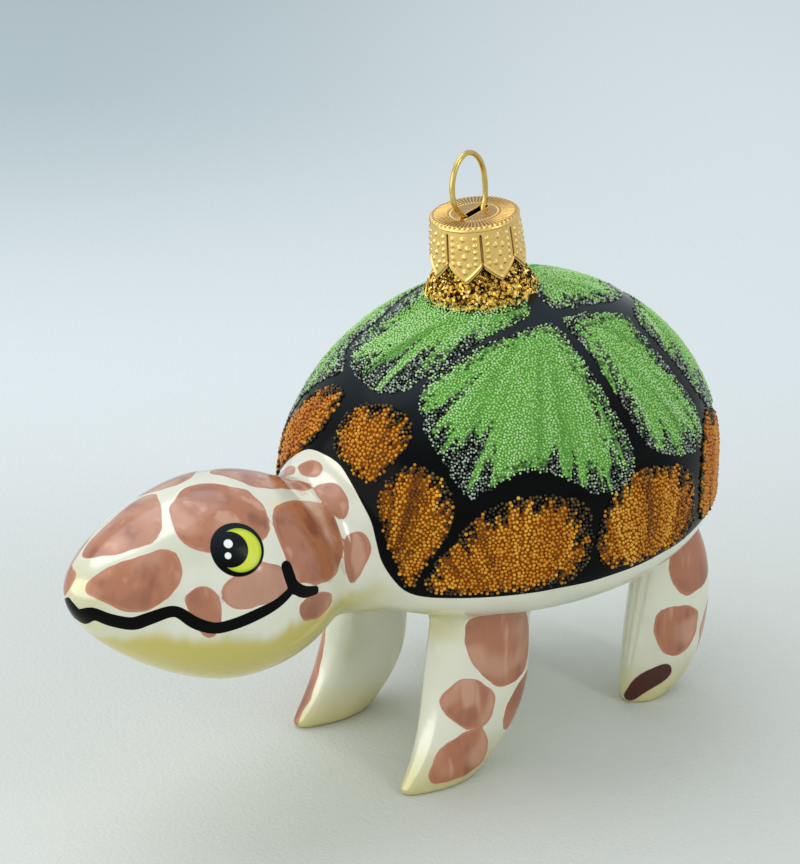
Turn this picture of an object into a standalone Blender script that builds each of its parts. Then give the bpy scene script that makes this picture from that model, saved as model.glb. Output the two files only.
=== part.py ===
"""Hanging ornament in the shape of a standing turtle: hollow blown glass, a stamped metal cap and a wire hanger.

Everything is in metres. +Z is up, the head points along -Y, the turtle's left side is +X, and the origin lies on
the ground under the middle of the bounding box. The glass is one closed wall of even thickness: an outer skin
joined from lofts (shell, neck, head, four legs, pipe), less the same lofts drawn smaller. The pipe on the back is
open at its top, under the cap, as the tube is that the glass was blown through.
"""

import math

import bmesh
import bpy
from mathutils import Vector

# Glass wall
WALL = 0.0009

# Shell: a dome over a flat-bottomed bowl. They meet at the widest level. A power of 2 is round, and more is squarer
SHELL_Y = 0.0210
SHELL_HALF_WIDTH = 0.0305
SHELL_HALF_LENGTH = 0.0382
WIDEST_Z = 0.0432
DOME_HEIGHT = 0.0310
DOME_POWER = 1.93
BELLY_DEPTH = 0.0172
BELLY_POWER = 3.35

# Head: an egg with its blunt end at the neck, tipped nose up
HEAD_CENTRE = Vector((0.0, -0.0360, 0.0404))
HEAD_HALF_LENGTH = 0.0236
HEAD_HALF_WIDTH = 0.0155
HEAD_HALF_HEIGHT = 0.0152
HEAD_PITCH = 0.174
HEAD_TAPER = 0.22
HEAD_POWER = 1.8

# Neck sections from inside the shell to inside the head: y, half width, half height, centre height
NECK_SECTIONS = (
    (-0.0063, 0.0172, 0.0145, 0.0415),
    (-0.0096, 0.0157, 0.0136, 0.0410),
    (-0.0123, 0.0145, 0.0128, 0.0405),
    (-0.0153, 0.0125, 0.0116, 0.0400),
    (-0.0193, 0.0113, 0.0105, 0.0395),
    (-0.0253, 0.0110, 0.0100, 0.0393),
)

# Leg sections from the sole up: height, front and back edge from the toe tip, half width, narrowing to the front,
# and how far the back edge lies outside the front one for each metre of length
LEG_X = 0.0137
FORE_TOE_Y = -0.0107
HIND_TOE_Y = 0.0362
HIND_STEP = 0.0160
FORE_LEG_SECTIONS = (
    (0.0000, 0.0003, 0.0141, 0.0031, 0.40, 0.00),
    (0.0010, 0.0000, 0.0155, 0.0036, 0.40, 0.00),
    (0.0030, 0.0014, 0.0173, 0.0041, 0.35, 0.00),
    (0.0060, 0.0031, 0.0203, 0.0044, 0.25, 0.03),
    (0.0100, 0.0048, 0.0224, 0.0046, 0.12, 0.08),
    (0.0150, 0.0061, 0.0234, 0.0046, 0.05, 0.14),
    (0.0210, 0.0070, 0.0236, 0.0046, 0.00, 0.15),
    (0.0280, 0.0082, 0.0236, 0.0048, 0.00, 0.15),
    (0.0360, 0.0088, 0.0232, 0.0052, 0.00, 0.12),
)
HIND_LEG_SECTIONS = (
    (0.0000, 0.0003, 0.0070, 0.0030, 0.40, 0.00),
    (0.0010, 0.0000, 0.0098, 0.0035, 0.40, 0.00),
    (0.0030, 0.0000, 0.0128, 0.0041, 0.35, 0.00),
    (0.0060, 0.0004, 0.0148, 0.0045, 0.25, 0.03),
    (0.0100, 0.0013, 0.0160, 0.0046, 0.12, 0.08),
    (0.0150, 0.0023, 0.0165, 0.0046, 0.05, 0.12),
    (0.0200, 0.0031, 0.0164, 0.0046, 0.00, 0.12),
    (0.0250, 0.0038, 0.0154, 0.0046, 0.00, 0.10),
    (0.0300, 0.0042, 0.0132, 0.0046, 0.00, 0.06),
    (0.0350, 0.0045, 0.0112, 0.0045, 0.00, 0.00),
)
LEG_SQUARENESS = 2.5

# Pipe on the back: distance down the cap's axis from the cap's top, outer radius
PIPE_SECTIONS = (
    (0.0009, 0.0057),
    (0.0014, 0.0060),
    (0.0078, 0.0061),
    (0.0089, 0.0065),
    (0.0096, 0.0074),
    (0.0108, 0.0080),
    (0.0121, 0.0087),
    (0.0140, 0.0097),
)

# Cap, along an axis that leans to the head: the top's middle, then radii and depths below the top
CAP_TOP = Vector((0.0, 0.0151, 0.0853))
CAP_LEAN = math.radians(6.5)
CAP_SHEET = 0.00035
CAP_TOP_RADIUS = 0.0069
CAP_WAIST_RADIUS = 0.0072
CAP_HEM_RADIUS = 0.00745
CAP_ROUNDING = 0.0008
CAP_WAIST_DEPTH = 0.0035
NOTCH_DEPTH = 0.0062
PETAL_DEPTH = 0.0088
PETALS = 8
FIRST_SEAM = math.radians(11.4)
SEAM_DEPTH = 0.0003
SLOT_LENGTH = 0.0063
SLOT_WIDTH = 0.0015
SLOT_TURN = math.atan2(0.976, -0.218)

# Hanger: an oval loop of wire whose legs spring apart inside the pipe
WIRE_RADIUS = 0.000425
LOOP_HEIGHT = 0.0100
LOOP_HALF_WIDTH = 0.00403
LOOP_HALF_GAP = 0.00235
LOOP_LEAN = 0.0008
LEG_END = (0.0043, -0.0130)
LEG_BEND = 0.0025

# Points round and rows along each loft
SHELL_POINTS, SHELL_ROWS = 48, 12
INNER_SHELL_POINTS, INNER_SHELL_ROWS = 32, 8
HEAD_POINTS, HEAD_ROWS = 28, 14
LEG_POINTS = 20
INNER_POINTS, INNER_HEAD_ROWS = 16, 9
PIPE_POINTS = 32
CAP_POINTS_PER_PETAL = 8
LOOP_POINTS, WIRE_LEG_POINTS = 26, 8

CAP_AXIS = Vector((0.0, -math.sin(CAP_LEAN), math.cos(CAP_LEAN)))
CAP_ACROSS = Vector((1.0, 0.0, 0.0))
CAP_BACK = CAP_AXIS.cross(CAP_ACROSS)


def clear_scene():
    for item in list(bpy.data.objects):
        bpy.data.objects.remove(item, do_unlink=True)


def paint(item, name, colour, roughness, metallic=0.0):
    """Gives the object a material of its own."""
    material = bpy.data.materials.new(name)
    material.use_nodes = True
    shader = material.node_tree.nodes["Principled BSDF"]
    shader.inputs["Base Color"].default_value = (*colour, 1.0)
    shader.inputs["Roughness"].default_value = roughness
    shader.inputs["Metallic"].default_value = metallic
    item.data.materials.append(material)


def loft(name, rings):
    """A closed body through rings of as many points each. A ring of one point closes an end as a pole."""
    mesh = bmesh.new()
    loops = [[mesh.verts.new(point) for point in ring] for ring in rings]
    for low, high in zip(loops, loops[1:]):
        count = max(len(low), len(high))
        for i in range(count):
            following = (i + 1) % count
            corners = [low[i % len(low)], low[following % len(low)], high[following % len(high)], high[i % len(high)]]
            mesh.faces.new(list(dict.fromkeys(corners)))
    for end in (loops[0], loops[-1]):
        if len(end) > 1:
            mesh.faces.new(end)
    bmesh.ops.recalc_face_normals(mesh, faces=mesh.faces)
    data = bpy.data.meshes.new(name)
    mesh.to_mesh(data)
    mesh.free()
    data.shade_smooth()
    data.set_sharp_from_angle(angle=math.radians(40.0))
    item = bpy.data.objects.new(name, data)
    bpy.context.scene.collection.objects.link(item)
    return item


def make_guide(item):
    """Hides a body that only shapes another one."""
    item.hide_render = True
    item.display_type = "WIRE"
    return item


def combine(base, others, operation):
    """Joins the other bodies to the base, or cuts them out of it."""
    for other in others:
        modifier = base.modifiers.new(other.name, "BOOLEAN")
        modifier.operation = operation
        modifier.solver = "EXACT"
        modifier.object = make_guide(other)


def bent_power(value, power):
    """A sine or cosine bent so that circles turn into rounded squares as the power grows past 2."""
    return math.copysign(abs(value) ** (2.0 / power), value)


def shell(name, inset, points, rows):
    """Dome and belly in one body. The belly has half as many rows as the dome."""
    half_width = SHELL_HALF_WIDTH - inset
    half_length = SHELL_HALF_LENGTH - inset
    levels = []
    for row in range(1, rows // 2):
        angle = math.pi / 2.0 * (1.0 - row / (rows // 2))
        drop = (BELLY_DEPTH - inset) * bent_power(math.sin(angle), BELLY_POWER)
        levels.append((-drop, bent_power(math.cos(angle), BELLY_POWER)))
    for row in range(rows):
        angle = math.pi / 2.0 * row / rows
        rise = (DOME_HEIGHT - inset) * bent_power(math.sin(angle), DOME_POWER)
        levels.append((rise, bent_power(math.cos(angle), DOME_POWER)))
    rings = [[Vector((0.0, SHELL_Y, WIDEST_Z - BELLY_DEPTH + inset))]]
    for height, share in levels:
        ring = []
        for i in range(points):
            turn = math.tau * i / points
            x = half_width * share * math.cos(turn)
            y = SHELL_Y + half_length * share * math.sin(turn)
            ring.append(Vector((x, y, WIDEST_Z + height)))
        rings.append(ring)
    rings.append([Vector((0.0, SHELL_Y, WIDEST_Z + DOME_HEIGHT - inset))])
    return loft(name, rings)


def head(name, inset, points, rows):
    """An egg along the head's own axis, from the nose to the back of the skull."""
    forward = Vector((0.0, -math.cos(HEAD_PITCH), math.sin(HEAD_PITCH)))
    upward = Vector((0.0, math.sin(HEAD_PITCH), math.cos(HEAD_PITCH)))
    rings = []
    for row in range(rows + 1):
        angle = math.pi * row / rows
        reach = bent_power(math.cos(angle), HEAD_POWER)
        centre = HEAD_CENTRE + forward * (HEAD_HALF_LENGTH - inset) * reach
        share = bent_power(math.sin(angle), HEAD_POWER) * (1.0 - HEAD_TAPER * reach)
        if row in (0, rows):
            rings.append([centre])
            continue
        ring = []
        for i in range(points):
            turn = math.tau * i / points
            ring.append(
                centre
                + Vector((1.0, 0.0, 0.0)) * (HEAD_HALF_WIDTH - inset) * share * math.cos(turn)
                + upward * (HEAD_HALF_HEIGHT - inset) * share * math.sin(turn)
            )
        rings.append(ring)
    return loft(name, rings)


def neck(name, inset, points):
    """The throat, which flares where it meets the shell."""
    rings = []
    for y, half_width, half_height, z in NECK_SECTIONS:
        ring = []
        for i in range(points):
            turn = math.tau * i / points
            x = (half_width - inset) * math.cos(turn)
            ring.append(Vector((x, y, z + (half_height - inset) * math.sin(turn))))
        rings.append(ring)
    return loft(name, rings)


def leg(name, side, toe_y, sections, inset, points):
    """A flipper with a flat sole and a pointed toe. side is 1 for the left legs and -1 for the right ones."""
    rings = []
    for index, (z, front, back, half_width, narrowing, slant) in enumerate(sections):
        if index == 0:
            z = z + inset
        middle = toe_y + (front + back) / 2.0
        half_length = (back - front) / 2.0 - inset
        ring = []
        for i in range(points):
            turn = math.tau * i / points
            along = bent_power(math.sin(turn), LEG_SQUARENESS)
            across = bent_power(math.cos(turn), LEG_SQUARENESS)
            width = (half_width - inset) * (1.0 + narrowing * min(along, 0.0))
            x = side * (LEG_X + slant * half_length * along) + width * across
            ring.append(Vector((x, middle + half_length * along, z)))
        rings.append(ring)
    return loft(name, rings)


def on_cap_axis(depth, radius, turn):
    """A point round the cap's axis, at a depth below the cap's top."""
    return CAP_TOP - CAP_AXIS * depth + (CAP_ACROSS * math.cos(turn) + CAP_BACK * math.sin(turn)) * radius


def pipe(name, inset, points):
    """The short tube on the back. Its bore runs on past the top, so that cutting it out leaves the pipe open."""
    sections = [(depth, radius - inset) for depth, radius in PIPE_SECTIONS]
    if inset > 0.0:
        sections[0] = (-PIPE_SECTIONS[0][0], sections[0][1])
        sections[-1] = (sections[-1][0] + 2.0 * inset, sections[-1][1])
    rings = []
    for depth, radius in sections:
        rings.append([on_cap_axis(depth, radius, math.tau * i / points) for i in range(points)])
    return loft(name, rings)


def glass_turtle():
    """The whole glass body: the joined outer skin less the joined inner one."""
    body = shell("glass_turtle", 0.0, SHELL_POINTS, SHELL_ROWS)
    hollow = shell("guide_hollow", WALL, INNER_SHELL_POINTS, INNER_SHELL_ROWS)
    legs = (
        ("fore_left", 1, FORE_TOE_Y, FORE_LEG_SECTIONS),
        ("fore_right", -1, FORE_TOE_Y, FORE_LEG_SECTIONS),
        ("hind_left", 1, HIND_TOE_Y, HIND_LEG_SECTIONS),
        ("hind_right", -1, HIND_TOE_Y - HIND_STEP, HIND_LEG_SECTIONS),
    )
    outer = [neck("guide_neck", 0.0, HEAD_POINTS), head("guide_head", 0.0, HEAD_POINTS, HEAD_ROWS)]
    inner = [neck("guide_throat", WALL, INNER_POINTS), head("guide_skull", WALL, INNER_POINTS, INNER_HEAD_ROWS)]
    for name, side, toe_y, sections in legs:
        outer.append(leg("guide_" + name, side, toe_y, sections, 0.0, LEG_POINTS))
        inner.append(leg("guide_inside_" + name, side, toe_y, sections, WALL, INNER_POINTS))
    outer.append(pipe("guide_pipe", 0.0, PIPE_POINTS))
    inner.append(pipe("guide_bore", WALL, INNER_POINTS))
    combine(hollow, inner, "UNION")
    combine(body, outer, "UNION")
    combine(body, [hollow], "DIFFERENCE")
    paint(body, "pearl_white_lacquer_on_glass", (0.86, 0.85, 0.79), 0.12)
    return body


def cap():
    """A cup of stamped sheet with a flat top and a hem of pointed petals, folded in between them."""
    points = PETALS * CAP_POINTS_PER_PETAL
    outer = [
        (0.0, CAP_TOP_RADIUS - CAP_ROUNDING, 0.0),
        (CAP_ROUNDING * 0.3, CAP_TOP_RADIUS - CAP_ROUNDING * 0.3, 0.3),
        (CAP_ROUNDING, CAP_TOP_RADIUS, 0.8),
        (CAP_WAIST_DEPTH, CAP_WAIST_RADIUS, 1.0),
    ]
    profile = outer + [(None, CAP_HEM_RADIUS, 1.0)]
    profile += [(None, CAP_HEM_RADIUS - CAP_SHEET, 1.0)]
    for depth, radius, fold in reversed(outer[2:]):
        profile.append((depth + CAP_SHEET, radius - CAP_SHEET, fold))
    profile.append((CAP_SHEET, CAP_TOP_RADIUS - 3.0 * CAP_SHEET, 0.0))
    rings = [[on_cap_axis(0.0, 0.0, 0.0)]]
    for depth, radius, fold in profile:
        ring = []
        for i in range(points):
            share = abs(2.0 * (i % CAP_POINTS_PER_PETAL) / CAP_POINTS_PER_PETAL - 1.0)
            edge = PETAL_DEPTH + (NOTCH_DEPTH - PETAL_DEPTH) * share
            seam = SEAM_DEPTH * fold if i % CAP_POINTS_PER_PETAL == 0 else 0.0
            turn = FIRST_SEAM + math.tau * i / points
            ring.append(on_cap_axis(edge if depth is None else depth, radius - seam, turn))
        rings.append(ring)
    rings.append([on_cap_axis(CAP_SHEET, 0.0, 0.0)])
    body = loft("cap", rings)
    combine(body, [slot_cutter()], "DIFFERENCE")
    paint(body, "stamped_gold_sheet", (0.72, 0.46, 0.16), 0.28, 1.0)
    return body


def slot_cutter():
    """A round-ended bar through the cap's top, along the hanger's plane."""
    half_run = (SLOT_LENGTH - SLOT_WIDTH) / 2.0
    rings = []
    for depth in (-0.001, 0.001):
        ring = []
        for end in (1, -1):
            for step in range(7):
                bend = math.pi * (step / 6.0 - 0.5)
                along = end * (half_run + SLOT_WIDTH / 2.0 * math.cos(bend))
                across = end * SLOT_WIDTH / 2.0 * math.sin(bend)
                radius = math.hypot(along, across)
                ring.append(on_cap_axis(depth, radius, SLOT_TURN + math.atan2(across, along)))
        rings.append(ring)
    return loft("guide_slot", rings)


def hanger_route():
    """The wire's middle line, as (along the slot, above the cap's top) pairs from one leg's end to the other's."""
    loop_top = LOOP_HEIGHT - WIRE_RADIUS
    drop = math.sqrt(1.0 - (LOOP_HALF_GAP / LOOP_HALF_WIDTH) ** 2)
    half_height = loop_top / (1.0 + drop)
    start = -math.asin(drop)
    loop = []
    for i in range(LOOP_POINTS + 1):
        angle = start + (math.pi - 2.0 * start) * i / LOOP_POINTS
        height = loop_top - half_height + half_height * math.sin(angle)
        lean = LOOP_LEAN * math.sin(math.pi / 2.0 * min(1.0, height / (loop_top - half_height)))
        loop.append(Vector((LOOP_HALF_WIDTH * math.cos(angle) - lean, height)))
    return spring_leg(loop[0], loop[1], 1.0)[::-1] + loop + spring_leg(loop[-1], loop[-2], -1.0)


def spring_leg(start, before, side):
    """A smooth run from the loop's end at the slot to the leg's end, which presses outwards inside the pipe."""
    end = Vector((side * LEG_END[0], LEG_END[1]))
    first = start + (start - before).normalized() * LEG_BEND
    second = end + Vector((-side * LEG_BEND / 4.0, LEG_BEND * 2.4))
    points = []
    for i in range(1, WIRE_LEG_POINTS + 1):
        t = i / WIRE_LEG_POINTS
        weights = ((1 - t) ** 3, 3 * t * (1 - t) ** 2, 3 * t * t * (1 - t), t**3)
        points.append(start * weights[0] + first * weights[1] + second * weights[2] + end * weights[3])
    return points


def hanger():
    """One springy wire: an eye above the cap, through the slot, with both ends inside the pipe."""
    along = CAP_ACROSS * math.cos(SLOT_TURN) + CAP_BACK * math.sin(SLOT_TURN)
    curve = bpy.data.curves.new("hanger", "CURVE")
    curve.dimensions = "3D"
    curve.bevel_depth = WIRE_RADIUS
    curve.bevel_resolution = 2
    curve.use_fill_caps = True
    route = hanger_route()
    spline = curve.splines.new("POLY")
    spline.points.add(len(route) - 1)
    for point, (side, height) in zip(spline.points, route):
        point.co = (*(CAP_TOP + along * side + CAP_AXIS * height), 1.0)
    item = bpy.data.objects.new("hanger", curve)
    bpy.context.scene.collection.objects.link(item)
    paint(item, "brass_wire", (0.70, 0.50, 0.22), 0.25, 1.0)
    return item


def main():
    clear_scene()
    glass_turtle()
    cap()
    hanger()


if __name__ == "__main__":
    main()
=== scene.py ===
"""Looks of a hand-painted turtle ornament of blown glass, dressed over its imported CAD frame.

The glass body is one skin, blown from the same sections as the solids and softened where they meet. Its lacquers
are painted by signed distances, in millimetres, that each point of the skin carries. Glass beads cover the 18 plates
of the shell, gold glitter hides the foot of the pipe, and a stamped cap holds the wire hanger.

Sizes are in millimetres in the row frame (+Z up, head along -Y, the turtle's left at +X) until a mesh is made.
"""

import logging
import math
from dataclasses import asdict, dataclass, field, replace
from enum import Enum
from typing import Any, Iterable, Sequence

import bpy
import numpy as np
from mathutils import Matrix

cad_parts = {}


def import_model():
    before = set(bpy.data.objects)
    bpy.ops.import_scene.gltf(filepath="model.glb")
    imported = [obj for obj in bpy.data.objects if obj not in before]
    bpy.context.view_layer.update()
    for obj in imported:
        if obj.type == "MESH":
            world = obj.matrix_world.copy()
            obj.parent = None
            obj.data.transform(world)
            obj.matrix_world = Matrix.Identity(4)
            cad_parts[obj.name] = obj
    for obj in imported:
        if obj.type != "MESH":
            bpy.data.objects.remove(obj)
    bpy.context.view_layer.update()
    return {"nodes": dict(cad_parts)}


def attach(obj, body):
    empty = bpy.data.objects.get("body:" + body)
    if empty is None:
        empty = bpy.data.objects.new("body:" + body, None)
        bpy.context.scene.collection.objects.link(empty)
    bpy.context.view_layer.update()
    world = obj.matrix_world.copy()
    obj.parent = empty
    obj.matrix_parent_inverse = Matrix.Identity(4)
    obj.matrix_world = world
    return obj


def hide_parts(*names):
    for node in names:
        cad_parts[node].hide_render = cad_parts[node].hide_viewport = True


LOG = logging.getLogger("turtle")
MM = 0.001
# Signed distance that stands for anywhere far outside an outline, in millimetres
OUTSIDE = -20.0
# Where rows of random values along a bearing start, so that no place falls below 0
ROW_START = 300.0
Corner = tuple[float, float]
Point = tuple[float, float, float]


def linear(text: str) -> tuple[float, float, float, float]:
    """Turns an sRGB hex colour into linear RGBA.

    Args:
        text: Six hex digits after a hash.

    Returns:
        Red, green, blue and an alpha of 1.
    """
    parts = [int(text[i : i + 2], 16) / 255.0 for i in (1, 3, 5)]
    red, green, blue = (p / 12.92 if p <= 0.04045 else ((p + 0.055) / 1.055) ** 2.4 for p in parts)
    return red, green, blue, 1.0


def add_node(tree: bpy.types.NodeTree, kind: str, inputs: dict[Any, Any] | None = None, **settings: Any) -> Any:
    """Adds a node with its settings, input values and links.

    Args:
        tree: Node tree that gets the node.
        kind: The node's type name.
        inputs: Socket name or index to a value or to another node's output.
        settings: Properties of the node.

    Returns:
        The new node.
    """
    node = tree.nodes.new(kind)
    for name, value in settings.items():
        setattr(node, name, value)
    for key, value in (inputs or {}).items():
        if isinstance(value, bpy.types.NodeSocket):
            tree.links.new(value, node.inputs[key])
        else:
            node.inputs[key].default_value = value
    return node


class Step(Enum):
    """What a row of a material's table does: the node, its settings, its inputs in order and its output."""

    GRAIN = ("ShaderNodeTexNoise", {}, ("Vector", "Scale", "Detail"), "Fac")
    TURNED = ("ShaderNodeMapping", {}, ("Vector", "Rotation", "Scale"), 0)
    FOLDED = ("ShaderNodeVectorMath", {"operation": "ABSOLUTE"}, (0,), 0)
    DISTANCE = ("ShaderNodeVectorMath", {"operation": "DISTANCE"}, (0, 1), "Value")
    ALONG = ("ShaderNodeVectorMath", {"operation": "DOT_PRODUCT"}, (0, 1), "Value")
    SHARE = (
        "ShaderNodeMapRange", {"interpolation_type": "SMOOTHSTEP"},
        ("Value", "From Min", "From Max", "To Min", "To Max"), 0,
    )
    COAT = ("ShaderNodeMix", {"data_type": "RGBA"}, (0, 6, 7), 2)
    SUM = ("ShaderNodeMath", {"operation": "ADD"}, (0, 1), 0)
    LESS = ("ShaderNodeMath", {"operation": "SUBTRACT"}, (0, 1), 0)
    PRODUCT = ("ShaderNodeMath", {"operation": "MULTIPLY"}, (0, 1), 0)
    MOST = ("ShaderNodeMath", {"operation": "MAXIMUM"}, (0, 1), 0)
    SCALED = ("ShaderNodeMath", {"operation": "MULTIPLY_ADD"}, (0, 1, 2), 0)
    BUMP = ("ShaderNodeBump", {}, ("Height", "Strength", "Distance"), 0)


Row = tuple[Any, ...]


def cells(size: float) -> float:
    """The noise scale whose cells have a size in millimetres."""
    return 1.0 / (size * MM)


def make_material(
    name: str, colours: dict[str, str], carried: Iterable[str], rows: Iterable[Row], fixed: dict[str, float]
) -> bpy.types.Material:
    """Makes a material from a table.

    A row holds its result's name, its step and the step's inputs: numbers, colours' names, earlier results' names,
    "place" for the point in the object, or a carried value's name with "_here". A result that is named like a socket
    of the shader is linked to it.

    Args:
        name: The material's name.
        colours: Hex colours by name.
        carried: Values that the mesh carries at each point.
        rows: The table.
        fixed: Constants of the shader by socket.

    Returns:
        The material.
    """
    material = bpy.data.materials.new(name)
    material.use_nodes = True
    tree = material.node_tree
    shader = tree.nodes["Principled BSDF"]
    found: dict[str, Any] = {key: linear(value) for key, value in colours.items()}
    found["place"] = add_node(tree, "ShaderNodeTexCoord").outputs["Object"]
    for key in carried:
        found[f"{key}_here"] = add_node(tree, "ShaderNodeAttribute", attribute_name=key).outputs["Fac"]
    for key, step, *values in rows:
        kind, settings, sockets, output = step.value
        inputs = {socket: found[value] if isinstance(value, str) else value for socket, value in zip(sockets, values)}
        found[key] = add_node(tree, kind, inputs, **settings).outputs[output]
        if key in shader.inputs:
            tree.links.new(found[key], shader.inputs[key])
    for key, value in fixed.items():
        shader.inputs[key].default_value = value
    return material


def smooth_step(value: np.ndarray, start: float, end: float) -> np.ndarray:
    """Goes smoothly from 0 at start to 1 at end."""
    share = np.clip((value - start) / (end - start), 0.0, 1.0)
    return share * share * (3.0 - 2.0 * share)


def ragged(value: np.ndarray, seed: int) -> np.ndarray:
    """Smooth random values from 0 to 1 along a line, one new value for each unit.

    Args:
        value: Places along the line.
        seed: Picks the row of random values.

    Returns:
        One value for each place.
    """
    table = np.random.default_rng(seed).random(512)
    low = np.floor(value).astype(int)
    share = smooth_step(value - low, 0.0, 1.0)
    return table[low % 512] * (1.0 - share) + table[(low + 1) % 512] * share


def bent_power(value: float, power: float) -> float:
    """A sine or cosine bent so that circles turn into rounded squares as the power grows past 2."""
    return math.copysign(abs(value) ** (2.0 / power), value)


def eased_rows(table: Sequence[Sequence[float]], steps: int) -> np.ndarray:
    """Adds smooth rows between the rows of a table of sections.

    Args:
        table: Rows of section values.
        steps: New rows for each given one.

    Returns:
        The finer table, through every given row.
    """
    rows = np.array(table)
    slopes = np.gradient(rows, axis=0)
    fine = []
    for low, high, out, into in zip(rows, rows[1:], slopes, slopes[1:]):
        for step in range(steps):
            t = step / steps
            rise = t * t * (3.0 - 2.0 * t)
            fine.append(low + (high - low) * rise + out * t * (1 - t) ** 2 - into * t * t * (1 - t))
    fine.append(rows[-1])
    return np.array(fine)


def make_mesh(name: str, points: np.ndarray, faces: list[tuple[int, ...]]) -> bpy.types.Object:
    """Makes a smooth-shaded object from points in millimetres.

    Args:
        name: Object and mesh name.
        points: One row for each point.
        faces: Point numbers of each face.

    Returns:
        The linked object.
    """
    mesh = bpy.data.meshes.new(name)
    mesh.from_pydata((points * MM).tolist(), [], faces)
    mesh.validate()
    mesh.shade_smooth()
    item = bpy.data.objects.new(name, mesh)
    bpy.context.scene.collection.objects.link(item)
    return item


def loft_faces(rings: int, points: int, closed: bool = False) -> list[tuple[int, ...]]:
    """Faces between rings of as many points each.

    Args:
        rings: Number of rings.
        points: Points in a ring.
        closed: Whether the last ring joins the first one, instead of ends that are capped.

    Returns:
        The faces' point numbers.
    """
    faces = []
    for row in range(rings if closed else rings - 1):
        low, high = row * points, (row + 1) % rings * points
        faces += [(low + i, low + (i + 1) % points, high + (i + 1) % points, high + i) for i in range(points)]
    if not closed:
        faces += [tuple(range(points))[::-1], tuple(range((rings - 1) * points, rings * points))]
    return faces


def settled(item: bpy.types.Object) -> bpy.types.Object:
    """Replaces an object by a plain mesh of what its modifiers make.

    Args:
        item: The object, which is removed.

    Returns:
        The new object under the same name.
    """
    mesh = bpy.data.meshes.new_from_object(item.evaluated_get(bpy.context.evaluated_depsgraph_get()))
    made = bpy.data.objects.new(item.name + "_made", mesh)
    bpy.context.scene.collection.objects.link(made)
    name = item.name
    bpy.data.objects.remove(item, do_unlink=True)
    made.name = mesh.name = name
    return made


def piece(item: bpy.types.Object, slot: str, *nodes: str) -> None:
    """Says which body a piece rides on and hides the CAD nodes that it stands for.

    Args:
        item: The piece.
        slot: Not used.
        nodes: CAD nodes that the piece replaces.
    """
    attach(item, "root")
    if nodes:
        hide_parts(*nodes)
    LOG.info("%s: %d faces", item.name, len(item.data.polygons))


def carry(mesh: bpy.types.Mesh, name: str, values: np.ndarray) -> None:
    """Stores one value for each point of a mesh."""
    layer = mesh.attributes.new(name, "FLOAT", "POINT")
    layer.data.foreach_set("value", values.astype(np.float32))


def points_of(mesh: bpy.types.Mesh) -> tuple[np.ndarray, np.ndarray]:
    """Reads the points of a mesh.

    Args:
        mesh: The mesh.

    Returns:
        The points in millimetres and their normals, one in each row.
    """
    places = np.empty(len(mesh.vertices) * 3)
    normals = np.empty(len(mesh.vertices) * 3)
    mesh.vertices.foreach_get("co", places)
    mesh.vertex_normals.foreach_get("vector", normals)
    return places.reshape(-1, 3) / MM, normals.reshape(-1, 3)


@dataclass
class ShellForm:
    """The shell: a dome over a flat-bottomed bowl that meet at the widest level."""

    middle_y: float = 21.0
    half_width: float = 30.5
    half_length: float = 38.2
    widest_z: float = 43.2
    dome_height: float = 31.0
    dome_power: float = 1.93
    belly_depth: float = 17.2
    belly_power: float = 3.35
    bead_room: float = 0.45
    room_starts: float = 36.0
    room_full: float = 39.5

    def rings(self, points: int, rows: int) -> np.ndarray:
        """Rings of the whole shell from the belly's middle to the crown, with room for beads on the dome.

        Args:
            points: Points in a ring.
            rows: Rings below the widest level, and as many above it.

        Returns:
            The rings' points.
        """
        levels = []
        for row in range(rows + 1):
            angle = math.pi / 2.0 * (1.0 - row / rows)
            drop = self.belly_depth * bent_power(math.sin(angle), self.belly_power)
            levels.append((-drop, max(0.001, bent_power(math.cos(angle), self.belly_power))))
        for row in range(1, rows + 1):
            angle = math.pi / 2.0 * row / rows
            rise = self.dome_height * bent_power(math.sin(angle), self.dome_power)
            levels.append((rise, max(0.001, bent_power(math.cos(angle), self.dome_power))))
        turns = np.arange(points) * math.tau / points
        rings = []
        for height, share in levels:
            level = np.array(self.widest_z + height)
            room = self.bead_room * float(smooth_step(level, self.room_starts, self.room_full))
            if height > 0.0:
                height -= room * height / self.dome_height
            x = (self.half_width - room) * share * np.cos(turns)
            y = self.middle_y + (self.half_length - room) * share * np.sin(turns)
            rings.append(np.stack([x, y, np.full(points, self.widest_z + height)], -1))
        return np.array(rings)

    def on_skin(self, turn: float, rise: float) -> np.ndarray:
        """Finds the skin in a direction from the shell's middle.

        Args:
            turn: Degrees from the front towards the turtle's left.
            rise: Degrees above the widest level, on the shell drawn as a ball.

        Returns:
            The point on the skin.
        """
        t, r = math.radians(turn), math.radians(rise)
        flat, up = math.cos(r), math.sin(r)
        height = self.dome_height - self.bead_room
        if up >= 0.0:
            scale = (flat**self.dome_power + up**self.dome_power) ** (-1.0 / self.dome_power)
        else:
            drop = -up * height / self.belly_depth
            scale = (flat**self.belly_power + drop**self.belly_power) ** (-1.0 / self.belly_power)
        x = (self.half_width - self.bead_room) * scale * flat * math.sin(t)
        y = self.middle_y - (self.half_length - self.bead_room) * scale * flat * math.cos(t)
        return np.array([x, y, self.widest_z + height * scale * up])


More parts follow.
